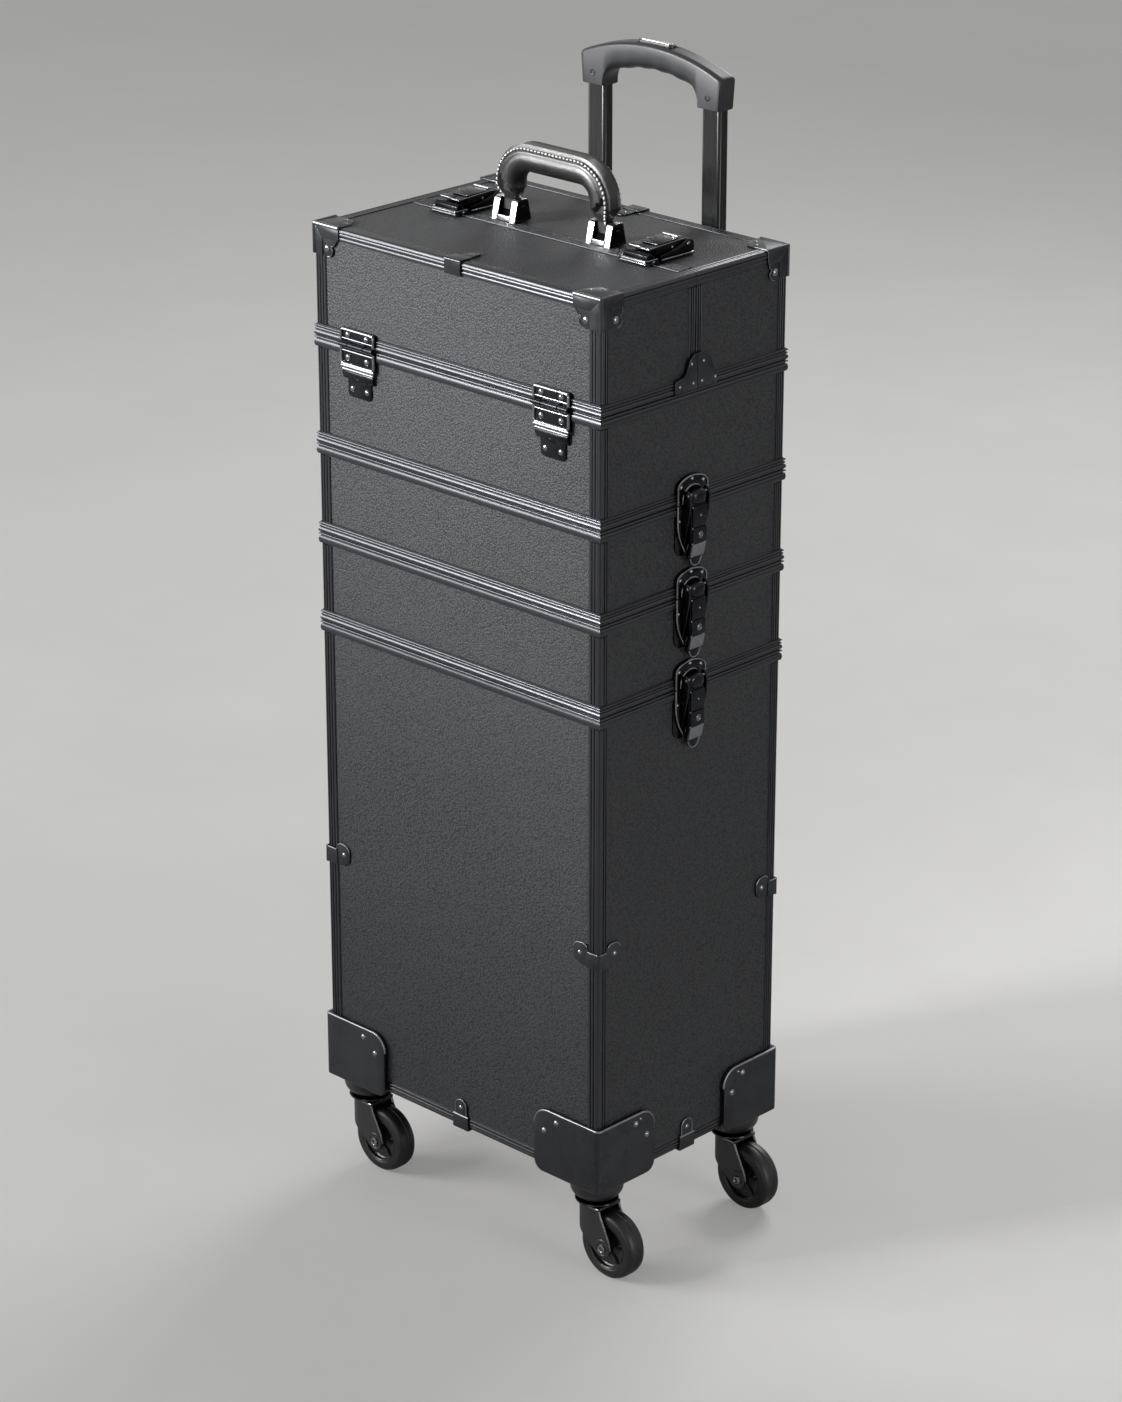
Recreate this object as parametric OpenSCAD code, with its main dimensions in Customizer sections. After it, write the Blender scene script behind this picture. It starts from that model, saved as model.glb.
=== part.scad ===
// Rolling storage case: a deep bin on four casters, two stacking trays and a
// top case with two lids, each framed in extrusions and clipped to the next.
// Millimetres, +Z up, floor at z = 0, front of the case toward -Y.

/* [Case] */
// Width of the case over its corner extrusions
case_w = 340; // [310:1:400]
// Depth of the case over its corner extrusions
case_d = 228; // [210:1:280]
// Height of the bottom bin
bin_h = 444; // [400:1:520]
// Height of each stacking tray
tray_h = 83; // [83:1:120]
// Height of the top case below its lids
top_h = 98; // [90:1:140]
// Height of the two lids
lid_h = 100; // [92:1:120]
// Running gap between the two lids
split_gap = 0.5; // [0.3:0.1:2]

/* [Boards and extrusions] */
// Thickness of the covered boards
board_t = 5; // [3:0.5:6]
// Thickness of the extrusion lips on both sides of a board
lip_t = 1.2; // [1:0.1:1.6]
// Thickness of the web between two boards that meet in an extrusion
web_t = 0.8; // [0.5:0.1:1.5]
// Width of a corner post seen from the front
post_front = 14; // [13:0.5:18]
// Width of a corner post seen from the side
post_side = 11; // [10.5:0.5:16]
// Height of the rim extrusion on each side of a seam
rim_h = 11; // [10.5:0.5:14]
// Distance that a rim stands proud of the posts
rim_proud = 1.5; // [1:0.1:2.5]
// Width of the edge extrusions of the lids, on both faces
edge_w = 12.5; // [11.5:0.5:16]
// Height of the edge extrusions at the foot of the bin
foot_edge = 11.5; // [11:0.5:14]
// Hairline gap where two extrusions meet
butt_gap = 0.06; // [0.04:0.01:0.1]
// Width of the extrusions along the split between the lids
split_w = 8.5; // [8:0.5:12]
// Radius of the outer corner of posts and edges
corner_r = 3; // [1.5:0.5:3.5]
// Depth of the decorative grooves along an extrusion
groove_deep = 0.6; // [0.3:0.1:0.9]
// Width of those grooves
groove_w = 1.1; // [0.6:0.1:1.4]
// Height of the tongue that locates one section on the next
tongue_h = 3.5; // [2:0.5:4]
// Thickness of that tongue
tongue_t = 2; // [1.5:0.1:2.4]
// Clearance round the tongue in its groove
tongue_gap = 0.4; // [0.3:0.1:0.6]

/* [Casters] */
// Height of the bin's underside above the floor
caster_h = 96; // [90:1:110]
// Radius of a caster wheel
wheel_r = 31; // [28:0.5:33]
// Width of a caster wheel
wheel_w = 20; // [16:1:26]
// Distance of the wheel's axle from the swivel axis
trail = 20; // [14:1:24]
// Radius of the fixed cup above the fork
cup_r = 24; // [21:0.5:26]
// Height of that cup
cup_h = 22; // [16:1:24]
// Diameter of the axle bolt
axle_d = 6; // [5:0.5:8]
// Diameter of the swivel pin
kingpin_d = 9; // [8:0.5:12]
// Radial running clearance of axles, pins and rollers
run_fit = 0.05; // [0.02:0.01:0.09]

/* [Corner brackets and clips] */
// Width of a bottom corner bracket seen from the front
bracket_w = 74; // [66:1:90]
// Width of a bottom corner bracket seen from the side
bracket_d = 68; // [60:1:84]
// Height of a bracket above the bin's underside
bracket_up = 58; // [50:1:70]
// Depth of a bracket's skirt below the bin's underside
bracket_down = 5; // [3:0.5:8]
// Distance that a bottom bracket's rolled plate stands proud
bracket_t = 4; // [2.5:0.5:5]
// Sheet thickness of corners and clips
sheet_t = 1.6; // [1.2:0.1:2]
// Width of a top corner seen from the front
cap_w = 31; // [28:1:40]
// Width of a top corner seen from the side
cap_d = 26; // [24:1:34]
// Height of a top corner
cap_h = 27; // [24:1:34]
// Width of the stepped plate at the foot of the split
fan_w = 27; // [24:1:34]
// Height of that plate above the seam
fan_h = 31; // [28:1:40]
// Height of the clips halfway up the bin's posts
clip_h = 24; // [18:1:34]
// Length of a clip's ears beyond the extrusion
ear = 16; // [12:1:20]

/* [Latches and hinges] */
// Width of a side latch's fixed plates
latch_w = 38; // [34:1:44]
// Width of a side latch's lever
lever_w = 20; // [18:1:22]
// Height of a side latch's catch plate above its seam
catch_up = 24.5; // [23:0.5:26]
// Length of a side latch's lever below its seam
lever_down = 56; // [50:1:56]
// Position of the side latches along Y
latch_y = -4; // [-14:1:14]
// Distance of the top latches from the sides of the case
top_latch_in = 58; // [52:1:70]
// Width of a top latch
top_latch_w = 36; // [32:1:38]
// Distance of the lid hinges from the sides of the case
hinge_in = 54; // [52:1:74]
// Width of a lid hinge
hinge_w = 42; // [36:1:46]
// Height of a hinge's upper leaf above the seam
leaf_up = 14.5; // [13:0.5:18]
// Distance from the seam down to the hinge's rolled step
leaf_down = 19.5; // [16:0.5:22]
// Height of the rolled step and of the tab below it
step_h = 12; // [9:0.5:14]
// Thickness of the hinge leaves
leaf_t = 1.4; // [1:0.1:1.8]
// Radius of a hinge knuckle
knuckle_r = 2.3; // [2:0.1:2.8]
// Diameter of a hinge pin
hinge_pin_d = 2.4; // [2:0.1:2.6]

/* [Carry handle] */
// Distance of the handle's brackets from the middle of the case
bracket_x = 56; // [48:1:60]
// Distance of the handle's pivot behind the split
handle_y = 11.5; // [11:0.5:20]
// Height of the handle above the lids
handle_h = 72; // [64:1:84]
// Thickness of the leather grip
grip_d = 23; // [20:0.5:25]
// Diameter of the handle's pivot pins
handle_pin_d = 5; // [4:0.5:6]

/* [Trolley handle] */
// Distance of each pole from the middle of the case
pole_x = 67.5; // [60:0.5:78]
// Distance of the poles' centre behind the case
pole_gap = 20; // [18:0.5:30]
// Width of the inner pole
pole_w = 21; // [18:0.5:24]
// Depth of the inner pole
pole_d = 12; // [10:0.5:14]
// Wall of the trolley tubes
tube_wall = 1.75; // [1.2:0.05:2]
// Sliding gap between one tube and the next
tube_gap = 0.25; // [0.15:0.05:0.4]
// Overlap of extended tubes
tube_overlap = 46; // [36:1:60]
// Distance from the bin's top seam down to the top of the outer tubes
outer_below = 8; // [4:1:40]
// Height of the foot of the outer tubes above the bin's underside
outer_foot = 34; // [20:1:60]
// Length of the middle stage
middle_len = 286; // [270:1:300]
// Height of the grip's sockets above the lids
socket_up = 96; // [66:1:126]
// Height of the saddles that hold the outer tubes
saddle_h = 22; // [16:1:30]
// Travel of each telescopic stage
stage_travel = 220; // [180:1:222]
// Height of the grip's crown above its sockets
crown_h = 45.5; // [42:0.5:52]
// Depth of the grip
grip_depth = 20; // [18:0.5:24]
// Length of the release button
button_w = 40; // [30:1:50]
// Depth of the release button
button_d = 9; // [8.5:0.5:11]
// Travel of the release button
button_travel = 3; // [2:0.5:4]

/* [Inner trays] */
// Length of the arms that carry the lids' inner trays
arm_len = 55; // [48:1:58]
// Angle of those arms above the horizontal
arm_angle = 38; // [32:1:44]
// Depth of an inner tray
inner_d = 82; // [70:1:84]
// Height of an inner tray
inner_h = 30; // [24:1:32]
// Wall of an inner tray
inner_wall = 2; // [1.5:0.5:3]

/* [Hidden] */

$fn = 48;
eps = 0.01;
big = 2000;

// Heights of the seams above the floor
bin_z = caster_h;
seam_4 = bin_z + bin_h;
seam_3 = seam_4 + tray_h;
seam_2 = seam_3 + tray_h;
seam_1 = seam_2 + top_h;
top_z = seam_1 + lid_h;

// Layers of a wall, measured inward from the face of the posts
board_in = lip_t + board_t;
frame_t = board_in + lip_t;
board_end = board_in + web_t;
rim_seat = tongue_h + tongue_gap + 1.6;
tongue_ease = 1;

// Latch lever: its pivot stands out from the post face and above the seam
lever_r = 4.5;
pivot_out = rim_proud + 1.2 + 0.7 + lever_r;
pivot_up = 9;
lever_out = pivot_out + lever_r;
plate_t = 1.2;

// Lid hinge: its axis stands out from the post face at the lid seam
knuckle_out = rim_proud + knuckle_r;
knuckle_gap = 0.4;
mid_knuckle = 0.45;

// Depth of the board's slot in the extrusions along the split
split_slot = 4;

// Telescopic tubes, from the inside out
middle_w = pole_w + 2 * (tube_gap + tube_wall);
middle_d = pole_d + 2 * (tube_gap + tube_wall);
outer_w = middle_w + 2 * (tube_gap + tube_wall);
outer_d = middle_d + 2 * (tube_gap + tube_wall);
collar_t = 1.2;
outer_top_z = seam_4 - outer_below;
middle_foot_z = outer_top_z - tube_overlap;
middle_top_z = middle_foot_z + middle_len;
inner_foot_z = middle_top_z - tube_overlap;
pole_y = case_d / 2 + pole_gap;
socket_z = top_z + socket_up;
hinge_x = case_w / 2 - hinge_in;
top_latch_x = case_w / 2 - top_latch_in;
button_deep = 9;
button_gap = 0.4;

// Casters: the cup stays inside the bracket's skirt
stem_in = cup_r + 0.5;
stem_x = case_w / 2 - stem_in;
stem_y = case_d / 2 - stem_in;
cup_foot = caster_h - sheet_t - cup_h;
race_gap = 0.5;
race_h = 3.4;
fork_top = cup_foot - race_gap - race_h;
fork_t = 2.6;
fork_gap = 1.4;
kingpin_head = 2;

// Top latch: floor plates, the lever's pivot behind the split and above the lids
catch_back = 17;
catch_body = 12.5;
latch_floor = 1.6;
lever_pivot_y = 37;
lever_pivot_z = 8.4;
top_lever_w = 25;

// Handle brackets: foot, cheeks and the height of the pivot above the lids
handle_pivot_up = 12.5;
bracket_len = 21;
bracket_across = 28.5;
cheek_wide = 7.4;
cheek_shoulder = 17;

// Ears of the lids' pressed corners, thinner than the corner itself
ear_in = 17.5;
ear_r = 6.3;
ear_t = 0.8;
cap_band = 11.5;

// Arms of the inner trays; points are (Y, Z) and the rear ones mirror the front ones
hinge_pt = [-case_d / 2 - knuckle_out, seam_1];
arm_foot = [-72, seam_1 - 8];
arm_reach = [arm_len * cos(arm_angle), arm_len * sin(arm_angle)];
lid_stud = hinge_pt + arm_reach;
arm_head = arm_foot + arm_reach;
stud_d = 4;
arm_t = 2.5;
arm_w = 11;
side_gap = 3;
inner_half = case_w / 2 - frame_t - side_gap - arm_t - 3;
inner_front = -94;
inner_low = seam_1 + 24;

// The origin lies on the floor under the middle of the whole envelope
reach_right = max(case_w / 2 - stem_in + trail + wheel_r, case_w / 2 + lever_out);
reach_left = case_w / 2 + lever_out;
reach_front = case_d / 2 + knuckle_out + knuckle_r;
reach_rear = pole_y + outer_d / 2 + collar_t;
place_x = (reach_left - reach_right) / 2;
place_y = (reach_front - reach_rear) / 2;

module place() {
    translate([place_x, place_y, 0]) children();
}

// Box between two corners
module block(low, high) {
    translate(low) cube(high - low);
}

// Rectangle about the origin with round corners
module round_rect(w, h, r) {
    square([w - 2 * r, h], center = true);
    square([w, h - 2 * r], center = true);
    for (x = [-1, 1], y = [-1, 1])
        translate([x * (w / 2 - r), y * (h / 2 - r)]) circle(r);
}

// Copies on both sides of the case's middle planes
module both_x() {
    children();
    mirror([1, 0, 0]) children();
}
module both_y() {
    children();
    mirror([0, 1, 0]) children();
}

// Local frames on the case's faces: X along the face, Y up, Z outward
module on_front(x, z) {
    translate([x, -case_d / 2, z]) rotate([90, 0, 0]) children();
}
module on_right(y, z) {
    translate([case_w / 2, y, z]) rotate([90, 0, 90]) children();
}
module on_top(x, y) {
    translate([x, y, top_z]) children();
}

// Domed rivet head standing on a plate
module rivet(r = 2.6, h = 1.4) {
    ball = (r * r + h * h) / (2 * h);
    rotate_extrude() intersection() {
        translate([0, h - ball]) circle(ball);
        square([r, h]);
    }
}

// Half of the space, on the front side of the split
module front_half(gap = split_gap / 2) {
    intersection() {
        children();
        block([-big, -big, -big], [big, -gap, big]);
    }
}

// Cross-section of a corner post at the right front corner
module post_profile() {
    difference() {
        union() {
            translate([-post_front, 0]) square([post_front, frame_t]);
            translate([-frame_t, 0]) square([frame_t, post_side]);
        }
        // slots that hold the front board and the side board
        translate([-post_front - eps, lip_t])
            square([post_front - board_end + eps, board_t]);
        translate([-board_in, board_end]) square([board_t, post_side - board_end + eps]);
        // round outer corner
        difference() {
            translate([-corner_r, -eps]) square([corner_r + eps, corner_r + eps]);
            translate([-corner_r, corner_r]) circle(corner_r);
        }
        // pairs of decorative grooves on both faces
        for (k = [0, 1]) {
            translate([-post_front + 2 + 3 * k, -eps]) square([groove_w, groove_deep + eps]);
            translate([-groove_deep, post_side - 2 - 3 * k - groove_w])
                square([groove_deep + eps, groove_w]);
        }
    }
}

module post(x_side, z_low, z_high) {
    mirror([x_side < 0 ? 1 : 0, 0, 0])
        translate([case_w / 2, -case_d / 2, z_low + butt_gap])
            linear_extrude(z_high - z_low - 2 * butt_gap) post_profile();
}

// Cross-section of a rim: X outward from the post face, Y away from the seam
module rim_profile(tongue) {
    difference() {
        union() {
            translate([-frame_t, 0]) square([frame_t + rim_proud, rim_h]);
            // tongue with its corners taken off, so that the lid can swing over it
            if (tongue)
                translate([-frame_t + 1, -tongue_h]) polygon([[0, tongue_h + eps], [0, tongue_ease],
                    [tongue_ease, 0], [tongue_t - tongue_ease + 0.4, 0], [tongue_t, tongue_ease],
                    [tongue_t, tongue_h + eps]]);
        }
        if (!tongue)
            translate([-frame_t + 1 - tongue_gap, -eps])
                square([tongue_t + 2 * tongue_gap, tongue_h + tongue_gap + eps]);
        // slot for the board
        translate([-board_in, rim_seat]) square([board_t, rim_h - rim_seat + eps]);
        // broken outer edges and one groove
        translate([rim_proud, 0]) rotate(45) square(1, center = true);
        translate([rim_proud, rim_h]) rotate(45) square(1, center = true);
        translate([rim_proud - groove_deep, tongue ? 2 : rim_h - 2 - groove_w])
            square([groove_deep + eps, groove_w]);
    }
}

// Cross-section of an edge where two boards meet: X outward, Y up, corner at 0, 0
module edge_profile(w, h) {
    difference() {
        union() {
            translate([-frame_t, -h]) square([frame_t, h]);
            translate([-w, -frame_t]) square([w, frame_t]);
        }
        translate([-board_in, -h - eps]) square([board_t, h - board_end + eps]);
        translate([-w - eps, -board_in]) square([w - board_end + eps, board_t]);
        difference() {
            translate([-corner_r, -corner_r]) square(corner_r + eps);
            translate([-corner_r, -corner_r]) circle(corner_r);
        }
        for (k = [0, 1]) {
            translate([-groove_deep, -h + 2 + 3 * k]) square([groove_deep + eps, groove_w]);
            translate([-w + 2 + 3 * k, -groove_deep]) square([groove_w, groove_deep + eps]);
        }
    }
}

// One mitred bar along side a (0 front, 90 right, 180 rear, 270 left);
// its children are a cross-section with X outward and Y up
module bar(a, proud = 0) {
    reach = (a % 180 == 0 ? case_d : case_w) / 2 + proud;
    half = (a % 180 == 0 ? case_w : case_d) / 2 + proud - butt_gap;
    deep = 40;
    rotate([0, 0, a]) intersection() {
        translate([0, proud - reach, 0]) rotate([90, 0, -90])
            linear_extrude(2 * half, center = true) children();
        translate([0, 0, -deep]) linear_extrude(2 * deep)
            polygon([[-half, -reach], [half, -reach], [half - deep, deep - reach],
                [deep - half, deep - reach]]);
    }
}

// Rim on the low side of a seam, with the tongue, and on its high side
module rim_below(z, sides = [0, 90, 180, 270]) {
    for (a = sides) translate([0, 0, z]) bar(a, rim_proud) mirror([0, 1]) rim_profile(true);
}
module rim_above(z, sides = [0, 90, 180, 270]) {
    for (a = sides) translate([0, 0, z]) bar(a, rim_proud) rim_profile(false);
}

// Four wall boards between two heights, each held by slots all round
module wall_boards(z_low, z_high) {
    both_y() block([-case_w / 2 + board_end, -case_d / 2 + lip_t, z_low],
        [case_w / 2 - board_end, -case_d / 2 + board_in, z_high]);
    both_x() block([case_w / 2 - board_in, -case_d / 2 + board_end, z_low],
        [case_w / 2 - lip_t, case_d / 2 - board_end, z_high]);
}

// Floor board resting inside the walls
module floor_board(z_low) {
    block([-case_w / 2 + frame_t, -case_d / 2 + frame_t, z_low],
        [case_w / 2 - frame_t, case_d / 2 - frame_t, z_low + board_t]);
}

// A tray-like section: boards and frame between two seams
module section_boards(z_low, z_high) {
    wall_boards(z_low + rim_seat, z_high - rim_seat);
    floor_board(z_low + tongue_h + 1.5);
}
module section_frame(z_low, z_high) {
    rim_above(z_low);
    rim_below(z_high);
    both_y() for (s = [-1, 1]) post(s, z_low + rim_h, z_high - rim_h);
}

// Board that closes the top of the lids or the foot of the bin
module cap_board(z_low) {
    block([-case_w / 2 + board_end, -case_d / 2 + board_end, z_low],
        [case_w / 2 - board_end, case_d / 2 - board_end, z_low + board_t]);
}

// Edge bars in a ring at height z, their corner up or down
module edge_ring(z, w, up) {
    for (a = [0, 90, 180, 270]) translate([0, 0, z]) bar(a)
        mirror([0, up ? 0 : 1]) edge_profile(w, w);
}

module bin_panels() color("#232427") place() {
    wall_boards(bin_z + board_end, seam_4 - rim_seat);
    cap_board(bin_z + lip_t);
}

module bin_frame() color("#2c2d30") place() {
    edge_ring(bin_z, foot_edge, false);
    rim_below(seam_4);
    both_y() for (s = [-1, 1]) post(s, bin_z + foot_edge, seam_4 - rim_h);
}

// Outline of a bracket's plate: X from the case corner inward, Y up
module bracket_face(w, up, down) {
    big_r = 16;
    foot_r = 9;
    square([w - big_r, up]);
    translate([0, -down]) square([w - foot_r, up + down - big_r]);
    square([w, up - big_r]);
    translate([0, foot_r - down]) square([w, up + down - big_r - foot_r]);
    translate([w - big_r, up - big_r]) circle(big_r);
    translate([w - foot_r, foot_r - down]) circle(foot_r);
}

// Bottom corner bracket at the right front: two plates and a floor plate
module corner_bracket() {
    t = bracket_t;
    x = case_w / 2;
    y = -case_d / 2;
    fold_r = 4.5;
    difference() {
        union() {
            intersection() {
                translate([x + t, y, bin_z]) rotate([90, 0, 0]) mirror([1, 0, 0])
                    linear_extrude(t) bracket_face(bracket_w + t, bracket_up, bracket_down);
                // outer edge of the fold
                block([-big, y - t, 0], [x + t, y, top_z]);
            }
            translate([x, y - t, bin_z]) rotate([90, 0, 90])
                linear_extrude(t) bracket_face(bracket_d + t, bracket_up, bracket_down);
            translate([x - bracket_w + 12, y, bin_z - sheet_t])
                cube([bracket_w - 12, bracket_d - 12, sheet_t]);
        }
        // rounded fold line
        translate([x + t - fold_r, y - t + fold_r, 0]) difference() {
            translate([0, -fold_r - eps, 0]) cube([fold_r + eps, fold_r + eps, top_z]);
            cylinder(r = fold_r, h = 3 * top_z, center = true);
        }
    }
}

// Two rivets on the front and three on the side of the same corner
module bracket_rivets() {
    for (p = [[bracket_w - 12, bracket_up - 21], [bracket_w - 27, bracket_up - 9]])
        on_front(case_w / 2 - p[0], bin_z + p[1]) translate([0, 0, bracket_t]) rivet(3.2, 1.8);
    for (p = [[bracket_d - 10, bracket_up - 24], [bracket_d - 24, bracket_up - 9]])
        on_right(-case_d / 2 + p[0], bin_z + p[1]) translate([0, 0, bracket_t]) rivet(3.2, 1.8);
    on_right(-case_d / 2 + bracket_d - 18, bin_z + bracket_up - 6)
        translate([0, 0, bracket_t]) rivet(1.6, 0.9);
}

module corner_brackets() color("#1d1e20") place() both_x() both_y() corner_bracket();

// Clip round a corner post: two straps over the post and an ear on each board
module post_clip(z) {
    h = clip_h;
    front_ear = post_front + ear;
    side_ear = post_side + ear;
    difference() {
        union() {
            on_front(case_w / 2 - post_front / 2, z)
                linear_extrude(sheet_t) square([post_front + 2, h], center = true);
            on_right(-case_d / 2 + post_side / 2, z)
                linear_extrude(sheet_t) square([post_side + 2, h], center = true);
            block([case_w / 2 - eps, -case_d / 2 - sheet_t, z - h / 2],
                [case_w / 2 + sheet_t, -case_d / 2 + eps, z + h / 2]);
            on_front(case_w / 2 - (post_front + front_ear) / 2, z) translate([0, 0, -lip_t])
                linear_extrude(lip_t + 0.6) round_rect(ear, h * 0.62, 4);
            on_right(-case_d / 2 + (post_side + side_ear) / 2, z) translate([0, 0, -lip_t])
                linear_extrude(lip_t + 0.6) round_rect(ear, h * 0.62, 4);
        }
        // room for the post and its rounded corner
        block([case_w / 2 - post_front, -case_d / 2, 0], [case_w / 2, case_d / 2, top_z]);
        block([0, -case_d / 2, 0], [case_w / 2, -case_d / 2 + post_side, top_z]);
    }
}

module edge_clips() color("#1b1c1e") place() {
    clip_z = bin_z + bin_h / 2;
    both_x() both_y() post_clip(clip_z);
    both_y() foot_clip(case_d);
    both_x() rotate([0, 0, 90]) foot_clip(case_w);
}

// Clip over the middle of a foot edge, for the side at -Y of a case this deep
module foot_clip(depth) {
    w = 26;
    translate([0, -depth / 2, bin_z]) {
        block([-w / 2, -sheet_t, -sheet_t], [w / 2, 0, foot_edge]);
        block([-w / 2, -sheet_t, -sheet_t], [w / 2, foot_edge, 0]);
        difference() {
            translate([0, lip_t, foot_edge + ear / 2 - 1]) rotate([90, 0, 0])
                linear_extrude(lip_t + 0.6) round_rect(w * 0.62, ear + 2, 4);
            block([-w, 0, 0], [w, foot_edge, foot_edge]);
        }
    }
}

module clip_rivets() {
    clip_z = bin_z + bin_h / 2;
    both_x() both_y() {
        on_front(case_w / 2 - post_front - ear / 2, clip_z) translate([0, 0, 0.6]) rivet();
        on_right(-case_d / 2 + post_side + ear / 2, clip_z) translate([0, 0, 0.6]) rivet();
    }
    both_y() on_front(0, bin_z + foot_edge + ear / 2) translate([0, 0, 0.6]) rivet();
    both_x() on_right(0, bin_z + foot_edge + ear / 2) translate([0, 0, 0.6]) rivet();
}

module bin_rivets() color("#3c3e42") place() {
    both_x() both_y() bracket_rivets();
    clip_rivets();
}

// Fixed bowl-shaped cup and riveted swivel pin of one caster
module caster_seat() {
    head_z = fork_top - fork_t - kingpin_head - race_gap;
    bowl_r = 13;
    rotate_extrude() {
        translate([0, cup_foot + bowl_r]) square([cup_r, cup_h - bowl_r]);
        translate([0, cup_foot]) square([cup_r - bowl_r + 2, bowl_r + eps]);
        intersection() {
            translate([cup_r - bowl_r, cup_foot + bowl_r]) circle(bowl_r);
            translate([0, cup_foot]) square([cup_r, bowl_r + eps]);
        }
    }
    translate([0, 0, head_z]) cylinder(d = kingpin_d, h = cup_foot - head_z + eps);
    translate([0, 0, head_z]) cylinder(d = kingpin_d + 5, h = kingpin_head);
}

// The four swivel axes; the first argument list picks one of them
module at_stem(sx, sy) {
    translate([sx * stem_x, sy * stem_y, 0]) children();
}

module caster_seats() color("#222326") place()
    for (sx = [-1, 1], sy = [-1, 1]) at_stem(sx, sy) caster_seat();

// Side plate of a fork: wide under the race, tapering to the axle boss
module fork_cheek() {
    top = fork_top;
    lead = 20;
    boss = 8.5;
    difference() {
        union() {
            polygon([[-lead, top], [trail + 2, top], [trail + boss, wheel_r + 3],
                [trail + boss * 0.7, wheel_r - boss * 0.7], [trail - boss, wheel_r - 1],
                [-lead + 3, top - 19], [-lead, top - 12]]);
            translate([trail, wheel_r]) circle(boss);
        }
        translate([trail, wheel_r]) circle(axle_d / 2 + run_fit);
    }
}

// Fork with its raceway, and the axle bolt and nut that it carries
module caster_fork() {
    inside = wheel_w / 2 + fork_gap;
    plate_r = 22;
    difference() {
        union() {
            translate([0, 0, fork_top - fork_t]) cylinder(r = plate_r, h = fork_t);
            translate([0, 0, fork_top]) rotate_extrude() difference() {
                square([cup_r - 4, race_h]);
                translate([cup_r - 4, race_h / 2]) circle(1);
            }
        }
        cylinder(r = kingpin_d / 2 + run_fit, h = top_z);
    }
    for (s = [-1, 1]) translate([0, s * (inside + fork_t / 2) + fork_t / 2, 0])
        rotate([90, 0, 0]) linear_extrude(fork_t) fork_cheek();
    // stiffening web behind the swivel pin
    block([-20, -inside, fork_top - 14], [-20 + fork_t, inside, fork_top]);
    translate([trail, 0, wheel_r]) rotate([90, 0, 0]) {
        cylinder(d = axle_d, h = 2 * (inside + fork_t) + 6, center = true);
        translate([0, 0, inside + fork_t]) cylinder(d = 11, h = 2.2);
        translate([0, 0, inside + fork_t + 2.2]) rivet(5, 1.6);
        translate([0, 0, -inside - fork_t - 4]) cylinder(d = 11, h = 4, $fn = 6);
    }
}

// Wheel: a tyre with a tread groove round a dished hub
module caster_wheel() {
    hub_r = 22;
    bore = axle_d / 2 + run_fit;
    w = wheel_w / 2;
    translate([trail, 0, wheel_r]) rotate([90, 0, 0]) {
        rotate_extrude($fn = 96) difference() {
            union() {
                translate([hub_r, 3 - w]) square([wheel_r - hub_r, wheel_w - 6]);
                translate([hub_r, -w]) square([wheel_r - 3 - hub_r, wheel_w]);
                for (s = [-1, 1]) translate([wheel_r - 3, s * (w - 3)]) circle(3);
            }
            for (s = [-1, 1]) translate([wheel_r, s * (w - 5)]) circle(0.8);
        }
        rotate_extrude($fn = 96) difference() {
            translate([bore, -w]) square([hub_r - bore, wheel_w]);
            for (s = [-1, 1]) translate([bore + 5.5, s * (w + 3) - 6])
                square([hub_r - bore - 8, 12]);
            for (s = [-1, 1]) translate([bore, s * w - 1]) square([5.5, 2]);
        }
    }
}

module fork_at(sx, sy) {
    color("#26272a") place() at_stem(sx, sy) caster_fork();
}
module wheel_at(sx, sy) {
    color("#17181a") place() at_stem(sx, sy) caster_wheel();
}
module caster_fork_front_right() fork_at(1, -1);
module caster_fork_front_left() fork_at(-1, -1);
module caster_fork_rear_right() fork_at(1, 1);
module caster_fork_rear_left() fork_at(-1, 1);
module caster_wheel_front_right() wheel_at(1, -1);
module caster_wheel_front_left() wheel_at(-1, -1);
module caster_wheel_rear_right() wheel_at(1, 1);
module caster_wheel_rear_left() wheel_at(-1, 1);

// Rectangular tube with round corners
module tube_2d(w, d, wall) {
    difference() {
        round_rect(w, d, 3);
        round_rect(w - 2 * wall, d - 2 * wall, 3 - wall / 2);
    }
}
module pole_pair(z_low, z_high) {
    both_x() translate([pole_x, pole_y, z_low]) linear_extrude(z_high - z_low) children();
}

module trolley_outer_tubes() color("#1f2022") place()
    pole_pair(bin_z + outer_foot, outer_top_z) tube_2d(outer_w, outer_d, tube_wall);

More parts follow.
